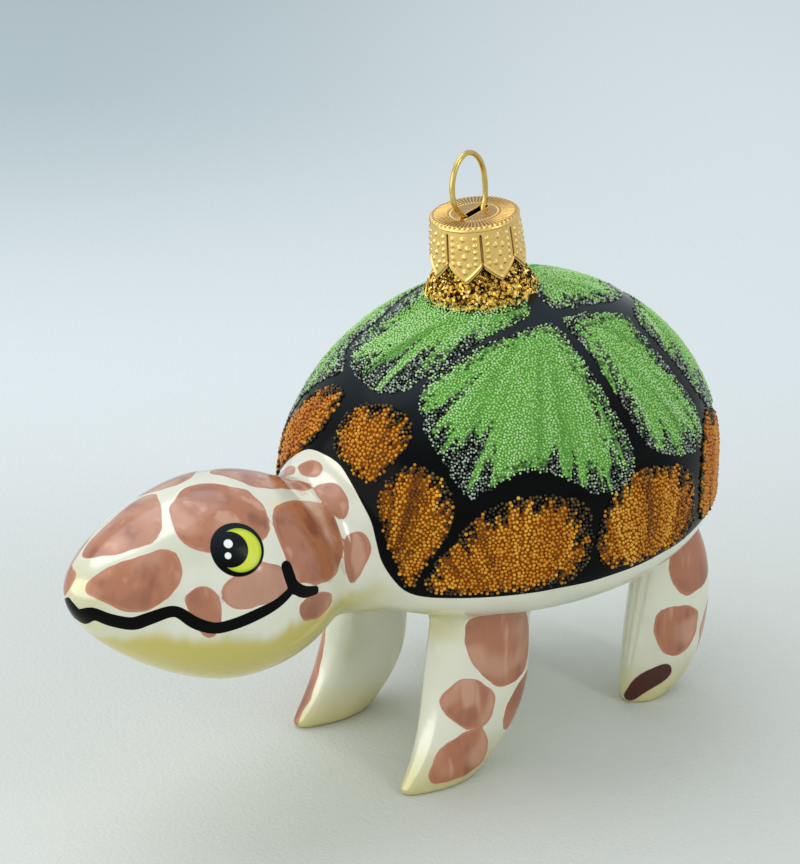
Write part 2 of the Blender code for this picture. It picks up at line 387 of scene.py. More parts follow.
@dataclass
class HeadForm:
    """The head: an egg with its blunt end at the neck, tipped nose up, on a short throat."""

    middle: Point = (0.0, -36.0, 40.4)
    half_length: float = 23.6
    half_width: float = 15.5
    half_height: float = 15.2
    pitch: float = 0.174
    taper: float = 0.22
    power: float = 1.8
    throat: tuple[tuple[float, ...], ...] = (
        (-6.3, 17.2, 14.5, 41.5),
        (-9.6, 15.7, 13.6, 41.0),
        (-12.3, 14.5, 12.8, 40.5),
        (-15.3, 12.5, 11.6, 40.0),
        (-19.3, 11.3, 10.5, 39.5),
        (-25.3, 11.0, 10.0, 39.3),
    )

    def rings(self, points: int, rows: int) -> np.ndarray:
        """Rings of the head from the back of the skull to the nose.

        Args:
            points: Points in a ring.
            rows: Steps from ring to ring.

        Returns:
            The rings' points.
        """
        forward = np.array([0.0, -math.cos(self.pitch), math.sin(self.pitch)])
        upward = np.array([0.0, math.sin(self.pitch), math.cos(self.pitch)])
        turns = np.arange(points) * math.tau / points
        rings = []
        for row in range(rows + 1):
            angle = math.pi * row / rows
            reach = bent_power(math.cos(angle), self.power)
            share = max(0.002, bent_power(max(0.0, math.sin(angle)), self.power)) * (1.0 - self.taper * reach)
            middle = np.array(self.middle) + forward * self.half_length * reach
            across = np.outer(np.cos(turns), [1.0, 0.0, 0.0]) * self.half_width
            rings.append(middle + (across + np.outer(np.sin(turns), upward) * self.half_height) * share)
        return np.array(rings)

    def throat_rings(self, points: int) -> np.ndarray:
        """Rings of the throat from inside the shell to inside the head.

        Args:
            points: Points in a ring.

        Returns:
            The rings' points.
        """
        turns = np.arange(points) * math.tau / points
        rings = []
        for y, half_width, half_height, z in eased_rows(self.throat, 4):
            x = half_width * np.cos(turns)
            rings.append(np.stack([x, np.full(points, y), z + half_height * np.sin(turns)], -1))
        return np.array(rings)


@dataclass
class LegForm:
    """A flipper with a flat sole and a pointed toe.

    Each section gives its height, its front and back edge from the toe tip, its half width, how much it narrows to
    the front, and how far the back edge lies outside the front one for each millimetre of length.
    """

    side: int
    toe_y: float
    sections: tuple[tuple[float, ...], ...]
    x: float = 13.7
    squareness: float = 2.5

    def rings(self, points: int) -> np.ndarray:
        """Rings of the leg from the sole up into the shell.

        Args:
            points: Points in a ring.

        Returns:
            The rings' points.
        """
        rings = []
        for z, front, back, half_width, narrowing, slant in eased_rows(self.sections, 4):
            middle, half_length = self.toe_y + (front + back) / 2.0, (back - front) / 2.0
            ring = []
            for i in range(points):
                turn = math.tau * i / points
                along = bent_power(math.sin(turn), self.squareness)
                width = half_width * (1.0 + narrowing * min(along, 0.0))
                out = self.side * (self.x + slant * half_length * along)
                aside = width * bent_power(math.cos(turn), self.squareness)
                ring.append((out + aside, middle + half_length * along, z))
            rings.append(ring)
        return np.array(rings)


FORE_SECTIONS = (
    (0.0, 0.3, 14.1, 3.1, 0.40, 0.00),
    (1.0, 0.0, 15.5, 3.6, 0.40, 0.00),
    (3.0, 1.4, 17.3, 4.1, 0.35, 0.00),
    (6.0, 3.1, 20.3, 4.4, 0.25, 0.03),
    (10.0, 4.8, 22.4, 4.6, 0.12, 0.08),
    (15.0, 6.1, 23.4, 4.6, 0.05, 0.14),
    (21.0, 7.0, 23.6, 4.6, 0.00, 0.15),
    (28.0, 8.2, 23.6, 4.8, 0.00, 0.15),
    (36.0, 8.8, 23.2, 5.2, 0.00, 0.12),
)
HIND_SECTIONS = (
    (0.0, 0.3, 7.0, 3.0, 0.40, 0.00),
    (1.0, 0.0, 9.8, 3.5, 0.40, 0.00),
    (3.0, 0.0, 12.8, 4.1, 0.35, 0.00),
    (6.0, 0.4, 14.8, 4.5, 0.25, 0.03),
    (10.0, 1.3, 16.0, 4.6, 0.12, 0.08),
    (15.0, 2.3, 16.5, 4.6, 0.05, 0.12),
    (20.0, 3.1, 16.4, 4.6, 0.00, 0.12),
    (25.0, 3.8, 15.4, 4.6, 0.00, 0.10),
    (30.0, 4.2, 13.2, 4.6, 0.00, 0.06),
    (35.0, 4.5, 11.2, 4.5, 0.00, 0.00),
)


@dataclass
class CapAxis:
    """The line that pipe, collar, cap and hanger share, with the middle of the cap's top and its lean to the head."""

    top: Point = (0.0, 15.1, 85.3)
    lean: float = math.radians(6.5)

    def directions(self) -> np.ndarray:
        """The axis's own right, back and up, one in each row."""
        sine, cosine = math.sin(self.lean), math.cos(self.lean)
        return np.array([[1.0, 0.0, 0.0], [0.0, cosine, sine], [0.0, -sine, cosine]])

    def place(self, depth: np.ndarray, radius: np.ndarray, turn: np.ndarray) -> np.ndarray:
        """Places points about the axis.

        Args:
            depth: Millimetres below the cap's top.
            radius: Distance from the axis.
            turn: Turn round it, from the turtle's left to its back.

        Returns:
            The points.
        """
        right, back, up = self.directions()
        depth, radius, turn = np.broadcast_arrays(depth, radius, turn)
        flat = np.cos(turn)[..., None] * right + np.sin(turn)[..., None] * back
        return np.array(self.top) - depth[..., None] * up + radius[..., None] * flat

    def measure(self, places: np.ndarray) -> tuple[np.ndarray, np.ndarray]:
        """Measures points against the axis.

        Args:
            places: Points in millimetres.

        Returns:
            Depth below the cap's top and distance from the axis of each.
        """
        right, back, up = self.directions()
        off = places - np.array(self.top)
        return -off @ up, np.hypot(off @ right, off @ back)


class Beads(Enum):
    """The two kinds of bead crust on the shell."""

    GREEN = "green"
    ORANGE = "orange"


@dataclass(frozen=True)
class Patch:
    """An outline on the glass, given by its corners, that knows how deep inside it a point lies."""

    corners: tuple[Point, ...]
    reach: float = 60.0
    facing: float = 0.15

    def frame(self) -> tuple[np.ndarray, np.ndarray, np.ndarray, np.ndarray]:
        """Fits a plane to the outline.

        Returns:
            The outline's middle, normal and two directions in its plane.
        """
        corners = np.array(self.corners)
        middle = corners.mean(axis=0)
        off = corners - middle
        normal = np.cross(off, np.roll(off, -1, axis=0)).sum(axis=0)
        normal /= np.linalg.norm(normal)
        across = np.cross([0.0, 0.0, 1.0], normal)
        if np.linalg.norm(across) < 0.1:
            across = np.cross([0.0, 1.0, 0.0], normal)
        across /= np.linalg.norm(across)
        return middle, normal, across, np.cross(normal, across)

    def depth(self, places: np.ndarray, normals: np.ndarray, outward: np.ndarray) -> np.ndarray:
        """Signed distance into the outline of each point, in the outline's own plane.

        Args:
            places: Points in millimetres.
            normals: The skin's normal at each.
            outward: A direction that points out of the glass here.

        Returns:
            Millimetres inside the outline, less than 0 outside it.
        """
        middle, normal, across, along = self.frame()
        if normal @ outward < 0.0:
            normal = -normal
        corners = (np.array(self.corners) - middle) @ np.array([across, along]).T
        spots = (places - middle) @ np.array([across, along]).T
        near = np.full(len(spots), 1e9)
        inside = np.zeros(len(spots), bool)
        for start, end in zip(corners, np.roll(corners, -1, axis=0)):
            run = end - start
            share = np.clip(((spots - start) @ run) / (run @ run), 0.0, 1.0)
            near = np.minimum(near, np.linalg.norm(spots - start - share[:, None] * run, axis=1))
            crosses = (start[1] > spots[:, 1]) != (end[1] > spots[:, 1])
            with np.errstate(divide="ignore", invalid="ignore"):
                x = start[0] + (spots[:, 1] - start[1]) / (end[1] - start[1]) * run[0]
            inside ^= crosses & (spots[:, 0] < x)
        depth = np.where(inside, near, -near)
        away = (normals @ normal < self.facing) | (np.abs((places - middle) @ normal) > self.reach)
        return np.where(away, OUTSIDE, depth)


def rounded(corners: Iterable[Sequence[float]], times: int = 2) -> np.ndarray:
    """Rounds an outline by cutting its corners.

    Args:
        corners: The outline's corners in order.
        times: How often they are cut.

    Returns:
        The rounded outline's corners.
    """
    points = np.array(list(corners), float)
    for _ in range(times):
        following = np.roll(points, -1, axis=0)
        points = np.stack([points * 0.78 + following * 0.22, points * 0.22 + following * 0.78], 1).reshape(-1, 3)
    return points


@dataclass(frozen=True)
class Scute:
    """One plate of the shell under its crust of beads.

    Corners are (turn, rise) directions as ShellForm.on_skin takes them. The brush strokes run away from the apex.
    """

    name: str
    beads: Beads
    corners: tuple[Corner, ...]
    apex: Corner
    redness: float = 0.0
    bare_edge: float = 1.0

    def mirrored(self) -> "Scute":
        """Mirrors the plate.

        Returns:
            The same plate on the turtle's right.
        """
        corners = tuple((-turn, rise) for turn, rise in self.corners)
        turn, rise = self.apex
        return replace(self, name=self.name.replace("left", "right"), corners=corners, apex=(-turn, rise))


NEAR_SCUTES = (
    Scute(
        "left_side", Beads.GREEN,
        ((85, 63), (87, 51), (89, 37), (92, 23), (92, 14), (87, 10), (80, 10), (70, 18), (63, 21), (52, 16), (47, 13),
         (43, 19), (33, 30), (26, 41), (27, 48), (43, 57.5), (74, 63.5)), (80, 67), bare_edge=1.25,
    ),
    Scute(
        "left_flank", Beads.GREEN,
        ((89.5, 62), (92, 65), (131, 56), (124, 49), (121, 35), (124, 20), (122, 11), (113, 10), (98, 17), (95, 25),
         (92, 41)),
        (98, 66), bare_edge=0.95,
    ),
    Scute(
        "left_brow", Beads.ORANGE,
        ((31, 24), (39, 21), (43.5, 15), (43.5, 5), (38, -3), (32, -14.5), (28.5, -6), (24.5, 6), (22.5, 11),
         (24.5, 19)),
        (22, -18), 0.0, 0.6,
    ),
    Scute(
        "left_rim", Beads.ORANGE,
        ((62, 15), (76, 10), (78.5, 4), (78, -13), (55, -14.5), (33.5, -14), (42, 0), (50, 11)), (46, -46), 0.3, 0.7,
    ),
    Scute(
        "left_skirt", Beads.ORANGE,
        ((100, 13), (113, 7), (115, -4), (115, -13), (98, -15), (79, -12), (80, 3), (85, 10), (93, 14)),
        (88, -55), 0.2, 0.5,
    ),
    Scute(
        "left_tail_side", Beads.ORANGE,
        ((119, 8), (129, 18), (141, 13), (147, 8), (148, -4), (147, -13), (130, -14), (118, -13)),
        (126, -60), 0.75, 0.4,
    ),
)
MIDDLE_SCUTES = (
    Scute(
        "crown_front", Beads.GREEN,
        ((-75, 69), (-44, 65), (-28, 59.5), (-27, 47), (-9, 42.5), (7, 40), (19, 41), (30, 50), (45, 59), (76, 67.5),
         (81, 76), (-81, 76)), (62, 78), bare_edge=1.1,
    ),
    Scute(
        "crown_back", Beads.GREEN,
        ((88, 74), (91, 67), (118, 64), (140, 58), (165, 54), (-165, 54), (-140, 58), (-118, 64), (-91, 67), (-88, 74)),
        (120, 84), bare_edge=0.9,
    ),
    Scute(
        "tail_crown", Beads.GREEN,
        ((135, 54), (128, 47), (127, 36), (130, 24), (134, 16), (150, 12), (165, 17), (180, 14), (-165, 17), (-150, 12),
         (-134, 16), (-130, 24), (-127, 36), (-128, 47), (-135, 54), (-165, 49), (165, 49)), (180, 62),
    ),
    Scute(
        "right_side", Beads.GREEN,
        ((-85, 63), (-87, 51), (-89, 37), (-92, 23), (-92, 14), (-87, 10), (-80, 10), (-70, 18), (-63, 21), (-52, 16),
         (-44, 14), (-36, 18), (-30, 29), (-17, 39.5), (-14, 42), (-30, 46), (-31, 57), (-44, 61), (-74, 65)),
        (-78, 67), bare_edge=1.2,
    ),
    Scute(
        "front_left", Beads.ORANGE,
        ((7, 37), (21, 38), (28, 34), (29, 28), (24, 21), (20, 15), (9, 20), (2.5, 24), (2, 31)), (6, -8), 0.2, 0.7,
    ),
    Scute(
        "front_right", Beads.ORANGE,
        ((-4, 38), (-2.5, 34), (-5, 24), (-12, 16), (-20, 7.5), (-27, 8), (-32, 16), (-27, 27), (-15, 37)),
        (-24, -20), 0.8, 0.5,
    ),
    Scute(
        "right_brow", Beads.ORANGE,
        ((-36, 15), (-41, 19), (-46, 14), (-47, 5), (-41, -2), (-33, -11), (-30, -6), (-28, 3), (-31, 6)),
        (-26, -24), 0.5, 0.6,
    ),
    Scute(
        "tail", Beads.ORANGE,
        ((151, 9), (165, 13), (180, 10), (-165, 13), (-151, 9), (-152, -4), (-151, -13), (180, -14), (151, -13),
         (152, -4)),
        (180, -60), 0.6, 0.4,
    ),
)
SCUTES = (
    NEAR_SCUTES
    + tuple(scute.mirrored() for scute in NEAR_SCUTES if scute.name not in ("left_side", "left_brow"))
    + MIDDLE_SCUTES
)

# Terracotta spots by their corners on the glass. Those in the first group are painted on both sides
PAIRED_SPOTS: tuple[tuple[Point, ...], ...] = (
    ((2.4, -57.9, 45.8), (3.8, -53.9, 48.9), (7.3, -46.8, 50.5), (9.6, -46.5, 48.2), (10.3, -48.1, 45.6),
     (9.2, -51.3, 43.2), (7.2, -54.2, 43.4), (4.7, -56.6, 45.0)),
    ((9.2, -30.3, 51.9), (7.4, -25.5, 51.6), (5.1, -19.2, 48.9), (8.6, -18.9, 46.5), (10.9, -19.5, 42.7),
     (13.1, -22.1, 41.1), (14.8, -27.2, 42.0), (15.1, -30.6, 43.5), (14.2, -31.5, 46.1), (11.9, -31.3, 49.6)),
    ((13.0, -41.7, 45.5), (13.5, -36.2, 47.3), (14.1, -33.0, 46.4), (15.1, -32.0, 43.7), (15.4, -34.0, 42.0),
     (14.7, -39.1, 41.4), (13.7, -41.7, 42.7)),
    ((11.1, -47.4, 44.1), (11.5, -45.4, 45.7), (12.4, -43.7, 45.3), (13.5, -42.6, 42.1), (13.5, -42.8, 39.9),
     (12.4, -44.3, 37.5)),
    ((2.5, -18.1, 50.2), (4.7, -15.5, 50.6), (8.2, -16.0, 48.4), (9.1, -17.7, 46.6), (6.2, -18.7, 48.5)),
    ((10.0, -18.2, 45.0), (11.0, -15.8, 45.1), (12.0, -15.3, 43.2), (12.1, -16.7, 39.6), (11.3, -18.4, 37.6),
     (11.1, -19.1, 41.2)),
    ((15.5, -30.6, 40.5), (13.8, -23.6, 39.3), (13.3, -22.9, 36.5), (14.7, -27.3, 36.2), (15.2, -30.2, 37.5)),
    ((18.2, -0.5, 29.5), (18.5, 7.5, 29.8), (18.3, 11.0, 25.4), (17.9, 11.1, 16.9), (18.6, 7.4, 15.2),
     (18.1, 3.5, 16.3), (17.2, -0.3, 22.3)),
    ((14.8, -4.1, 14.1), (16.5, -1.5, 18.2), (17.6, 0.9, 18.0), (18.3, 4.0, 14.7), (18.3, 3.6, 11.7), (18.1, 1.8, 9.8),
     (17.4, -1.3, 10.2)),
    ((15.9, -7.2, 3.5), (16.7, -3.5, 8.5), (18.1, 1.8, 9.4), (18.0, 2.9, 5.8), (17.1, 2.7, 2.3), (16.4, -6.5, 1.7)),
    ((17.8, 12.4, 16.6), (17.7, 12.4, 10.0), (17.9, 6.6, 6.0), (18.0, 5.9, 11.6), (18.0, 9.6, 15.4)),
)
LONE_SPOTS: tuple[tuple[Point, ...], ...] = (
    ((-2.5, -41.8, 54.2), (5.8, -46.8, 51.5), (3.9, -51.6, 50.3), (-0.2, -55.8, 48.8), (-2.3, -55.3, 48.7),
     (-3.8, -49.5, 51.3), (-4.8, -43.1, 53.3)),
    ((-0.7, -39.5, 54.8), (1.1, -35.4, 55.1), (4.3, -32.1, 54.5), (8.2, -30.7, 52.6), (12.2, -33.6, 49.6),
     (10.5, -42.2, 49.4), (7.5, -44.8, 51.2), (3.4, -44.0, 53.4)),
    ((-1.9, -37.3, 54.9), (-3.1, -41.4, 54.1), (-6.5, -42.6, 52.5), (-10.0, -43.0, 50.0), (-12.4, -39.0, 48.6),
     (-12.0, -33.0, 49.8), (-8.2, -30.7, 52.6), (-5.8, -32.6, 54.1)),
    ((-2.5, -34.0, 55.3), (1.5, -31.6, 55.0), (4.9, -29.4, 54.0), (3.1, -19.1, 49.6), (1.4, -18.0, 50.4),
     (-2.0, -22.0, 52.5), (-4.5, -28.0, 53.8)),
    ((-3.1, -56.4, 47.3), (0.0, -58.0, 46.8), (-0.4, -59.0, 44.6), (-1.6, -58.9, 43.5), (-4.6, -56.9, 44.4)),
    ((-4.9, -15.8, 50.4), (-1.4, -15.1, 52.3), (1.0, -15.4, 51.7), (1.4, -16.9, 50.8)),
    ((-14.0, -3.2, 21.0), (-13.2, -5.3, 11.4), (-13.4, -9.4, 2.8), (-13.5, -10.7, 0.4), (-15.2, -9.5, 1.0),
     (-16.4, -6.0, 6.0), (-16.8, -3.8, 13.0)),
    ((17.5, 52.6, 17.5), (17.0, 52.4, 9.0), (17.4, 49.0, 5.0), (18.1, 49.4, 12.0)),
)
# Painted on both hind legs, of which the right one stands a step further forward
HIND_SPOTS: tuple[tuple[Point, ...], ...] = (
    ((16.7, 41.5, 24.9), (18.2, 46.0, 31.0), (18.4, 49.5, 29.0), (18.2, 51.0, 24.0), (17.9, 50.7, 19.6),
     (18.1, 44.8, 18.3)),
    ((16.9, 41.2, 17.2), (18.4, 47.2, 15.8), (18.4, 48.0, 13.4), (18.3, 46.9, 9.3), (17.8, 42.4, 7.6),
     (16.7, 40.1, 12.3)),
)
TOE_SPOTS: tuple[tuple[Point, ...], ...] = (
    ((14.2, 36.4, 0.6), (15.8, 37.7, 4.9), (17.7, 41.9, 6.5), (17.8, 42.6, 4.8), (16.2, 38.3, 2.8)),
)
HIND_STEP = 16.0
# Mouth and cheek strokes, as points on the left of the head with the half width of the brush line
MOUTH = (
    (-0.9, -59.3, 42.6, 1.20), (0.4, -59.1, 41.8, 1.20), (1.5, -58.5, 41.3, 0.95), (3.7, -57.6, 42.4, 0.72),
    (5.4, -56.0, 41.7, 0.72), (7.5, -53.7, 41.1, 0.72), (8.9, -51.9, 41.8, 0.66), (10.4, -49.4, 42.7, 0.58),
    (11.1, -48.0, 42.4, 0.55), (12.1, -46.1, 40.6, 0.62), (13.1, -43.6, 39.4, 0.62), (14.2, -40.9, 39.6, 0.62),
    (15.1, -37.6, 40.4, 0.60), (15.4, -34.5, 41.2, 0.52), (15.4, -32.4, 42.1, 0.46), (15.3, -31.2, 42.9, 0.40),
)
CHEEK = ((14.3, -31.8, 45.7, 0.62), (14.9, -31.6, 44.2, 0.66), (15.3, -31.2, 42.9, 0.62), (15.2, -29.5, 41.4, 0.60),
         (14.8, -27.0, 40.7, 0.45))


@dataclass(frozen=True)
class EyePaint:
    """The painted left eye: discs about points on the glass, by radius. The right eye mirrors it."""

    ball: tuple[float, float, float, float] = (11.5, -38.2, 49.4, 3.95)
    iris: tuple[float, float, float, float] = (11.75, -37.95, 49.3, 3.2)
    pupil: tuple[float, float, float, float] = (11.25, -39.25, 49.6, 2.65)
    big_glint: tuple[float, float, float, float] = (10.8, -39.2, 50.3, 0.65)
    small_glint: tuple[float, float, float, float] = (11.6, -39.9, 48.9, 0.49)


@dataclass
class Painter:
    """Works out what is painted where, as values that each point of the skin carries."""

    shell: ShellForm
    axis: CapAxis
    arch: tuple[Corner, ...] = (
        (0.0, 53.6), (2.0, 53.5), (4.5, 52.8), (7.9, 50.4), (11.0, 47.1), (12.5, 43.9), (13.4, 40.4), (14.2, 37.7),
        (15.1, 36.1), (16.4, 35.2), (18.2, 34.9), (60.0, 34.9),
    )
    lacquer_edge: float = 34.9
    spread: float = 0.35
    line_weight: float = 1.52
    neck_plane: float = -15.0
    dab: float = 3.4
    tuft: float = 1.3
    hair: float = 0.5
    streak: float = 0.8

    def lacquer(self, places: np.ndarray) -> np.ndarray:
        """Finds the black lacquer of the shell, whose edge arches over the neck.

        Args:
            places: Points in millimetres.

        Returns:
            Signed distance into the lacquer of each.
        """
        near = np.full(len(places), 1e9)
        flat = np.stack([np.abs(places[:, 0]), places[:, 2]], -1)
        under = np.zeros(len(places), bool)
        line = eased_rows(self.arch[:-1], 5).tolist() + [self.arch[-1]]
        for (x0, z0), (x1, z1) in zip(line, line[1:]):
            start, run = np.array([x0, z0]), np.array([x1 - x0, z1 - z0])
            share = np.clip(((flat - start) @ run) / (run @ run), 0.0, 1.0)
            near = np.minimum(near, np.linalg.norm(flat - start - share[:, None] * run, axis=1))
            within = (flat[:, 0] >= x0) & (flat[:, 0] < x1)
            under |= within & (flat[:, 1] < z0 + (flat[:, 0] - x0) / max(x1 - x0, 1e-6) * (z1 - z0))
        front = np.where(under, -near, near)
        turn = np.arctan2(places[:, 0], places[:, 1] - self.shell.middle_y)
        waver = 0.25 * (ragged(turn * 6.0 + 40.0, 3) - 0.5) + 0.7 * smooth_step(places[:, 1], 20.0, 50.0)
        level = places[:, 2] - self.lacquer_edge - waver
        edge = np.where(places[:, 1] < 5.0, np.minimum(front, level + 0.2), level)
        return np.minimum(edge, places[:, 1] - self.neck_plane)

    def scute_corners(self, scute: Scute) -> Patch:
        """A plate's outline on the skin."""
        corners = rounded([self.shell.on_skin(*corner) for corner in scute.corners], 1)
        return Patch(tuple(map(tuple, corners)), facing=0.0)

    def crust(self, scute: Scute, places: np.ndarray, normals: np.ndarray) -> tuple[np.ndarray, np.ndarray, np.ndarray]:
        """A plate's brushwork.

        Args:
            scute: The plate.
            places: Points of the skin.
            normals: Their normals.

        Returns:
            Distance into the plate, distance into its painted strokes and the strokes' tone from 0 to 1.
        """
        patch = self.scute_corners(scute)
        middle, normal, across, along = patch.frame()
        outward = middle - np.array([0.0, self.shell.middle_y, self.shell.widest_z - 10.0])
        seed = sum(map(ord, scute.name))
        depth = patch.depth(places, normals, outward)
        waver = ragged(places.sum(axis=1) * 0.9, seed) + ragged((places @ [1, -1, 1]) * 0.7, seed + 1)
        depth = depth + 0.35 * (waver - 1.0)
        apex = self.shell.on_skin(*scute.apex)
        # The strokes part into fingers towards the outline, by the brush's hairs, tufts and dabs of so many millimetres
        spots = (places - middle) @ np.array([across, along]).T
        origin = (apex - middle) @ np.array([across, along]).T
        off = spots - origin
        run = np.linalg.norm(off, axis=1)
        corners = (np.array(patch.corners) - middle) @ np.array([across, along]).T - origin
        longest = np.linalg.norm(corners, axis=1).max()
        nearest = max(0.0, np.linalg.norm(corners, axis=1).min())
        share = np.clip((run - nearest) / (longest - nearest), 0.0, 1.0)
        bearing = np.arctan2(off[:, 1], off[:, 0]) * longest
        wide = ragged(bearing / self.dab + ROW_START, seed + 2)
        mid = ragged(bearing / self.tuft + ROW_START, seed + 3)
        hair = ragged(bearing / self.hair + ROW_START, seed + 4)
        if scute.beads is Beads.GREEN:
            forward = smooth_step(middle[1] - places[:, 1], 0.0, 9.0)
            fingers = smooth_step(0.25 * wide + 0.4 * mid + 0.35 * hair, 0.32, 0.76) ** 1.4
            margin = scute.bare_edge * (0.3 + (5.0 * share + 3.8 * forward) * fingers)
            parted = smooth_step(ragged(bearing / self.streak + ROW_START, seed + 5), 0.8, 0.95)
            margin = margin + 2.6 * parted * smooth_step(share, 0.25, 0.6)
        else:
            fingers = smooth_step(0.15 * wide + 0.3 * mid + 0.55 * hair, 0.34, 0.8) ** 1.4
            margin = scute.bare_edge * (0.25 + 0.5 * hair + (0.4 + 6.4 * share) * fingers)
        fine_tone = ragged(bearing / self.streak + run / 14.0 + ROW_START, seed + 6)
        broad_tone = ragged(bearing / 2.6 + run / 9.0 + ROW_START, seed + 8)
        return depth, depth - margin, 0.5 * fine_tone + 0.5 * broad_tone

    def spots(self, places: np.ndarray, normals: np.ndarray, outlines: Iterable[tuple[Point, ...]]) -> np.ndarray:
        """Finds the nearest of several spots.

        Args:
            places: Points in millimetres.
            normals: The skin's normal at each.
            outlines: The spots' corners.

        Returns:
            Signed distance into the spot.
        """
        most = np.full(len(places), OUTSIDE)
        for corners in outlines:
            outline = rounded(corners)
            middle = outline.mean(axis=0)
            if middle[2] > 32.0:
                outward = middle - np.array([0.0, middle[1] + 4.0, 40.0])
            else:
                outward = np.array([middle[0], -2.0, 0.0])
            patch = Patch(tuple(map(tuple, outline)), 5.0, 0.25)
            most = np.maximum(most, patch.depth(places, normals, outward))
        return most + self.spread

    def strokes(self, places: np.ndarray, lines: Iterable[Sequence[tuple[float, ...]]]) -> np.ndarray:
        """Finds brush lines, on both sides of the head.

        Args:
            places: Points in millimetres.
            lines: Points on the left with the line's half width at each.

        Returns:
            Signed distance into the nearest line.
        """
        flat = places.copy()
        flat[:, 0] = np.abs(flat[:, 0])
        most = np.full(len(places), OUTSIDE)
        for line in lines:
            fine = eased_rows(line, 4)
            for start, end in zip(fine, fine[1:]):
                a, run = np.array(start[:3]), np.array(end[:3]) - np.array(start[:3])
                share = np.clip(((flat - a) @ run) / (run @ run), 0.0, 1.0)
                width = self.line_weight * (start[3] + (end[3] - start[3]) * share)
                most = np.maximum(most, width - np.linalg.norm(flat - a - share[:, None] * run, axis=1))
        return most

    def olive(self, places: np.ndarray) -> np.ndarray:
        """Finds the yellow-olive tint under the chin, at the throat and at the toes.

        Args:
            places: Points in millimetres.

        Returns:
            Its strength at each, from 0 to 1.
        """
        waver = 1.6 * (ragged(places[:, 1] / 3.2 + 100.0, 31) + 0.5 * ragged(places[:, 1] / 1.1 + 100.0, 32) - 0.75)
        rise = 2.2 * smooth_step(-places[:, 1], 36.0, 50.0)
        chin = 1.0 - smooth_step(places[:, 2] + waver - rise, 35.0, 38.0)
        head = chin * (1.0 - smooth_step(places[:, 1], -21.0, -9.0))
        under = smooth_step(places[:, 2], 23.0, 26.0) * (1.0 - smooth_step(places[:, 2] + waver, 29.5, 33.5))
        throat = 0.8 * under * smooth_step(-places[:, 1], -2.0, 6.0)
        toes = 0.7 * (1.0 - smooth_step(places[:, 2], 0.3, 9.0))
        nose = 0.4 * smooth_step(-places[:, 1], 54.5, 58.0)
        return np.maximum(np.maximum(head, nose), np.maximum(throat, toes))

    def dress(self, mesh: bpy.types.Mesh) -> None:
        """Gives every point of the skin its painted values.

        Args:
            mesh: The skin.
        """
        places, normals = points_of(mesh)
        crust, strokes, tone = np.full((3, len(places)), OUTSIDE)
        redness, green = np.zeros((2, len(places)))
        for scute in SCUTES:
            depth, painted, shade = self.crust(scute, places, normals)
            here = depth > crust
            crust = np.where(here, depth, crust)
            strokes = np.where(here, painted, strokes)
            tone = np.where(here, shade, tone)
            redness = np.where(here, scute.redness, redness)
            green = np.where(here, float(scute.beads is Beads.GREEN), green)
        paired = [tuple((side * x, y, z) for x, y, z in spot) for spot in PAIRED_SPOTS for side in (1, -1)]
        stepped = [tuple((-x, y - HIND_STEP, z) for x, y, z in spot) for spot in HIND_SPOTS + TOE_SPOTS]
        spots = [*paired, *LONE_SPOTS, *HIND_SPOTS, *stepped[: len(HIND_SPOTS)]]
        carry(mesh, "lacquer", self.lacquer(places))
        carry(mesh, "crust", crust)
        carry(mesh, "strokes", strokes)
        carry(mesh, "tone", tone)
        carry(mesh, "redness", redness)
        carry(mesh, "green", green)
        carry(mesh, "spots", self.spots(places, normals, spots))
        carry(mesh, "toes", self.spots(places, normals, [*TOE_SPOTS, *stepped[len(HIND_SPOTS) :]]))
        carry(mesh, "lines", self.strokes(places, (MOUTH, CHEEK)))
        carry(mesh, "olive", self.olive(places))
        # How far the skin faces up, which sets the painted ceiling reflection on the black lacquer
        carry(mesh, "skyward", normals[:, 2])
        drop, out = self.axis.measure(places)
        carry(mesh, "varnish", np.where(drop < 16.0, 9.2 - out, OUTSIDE))


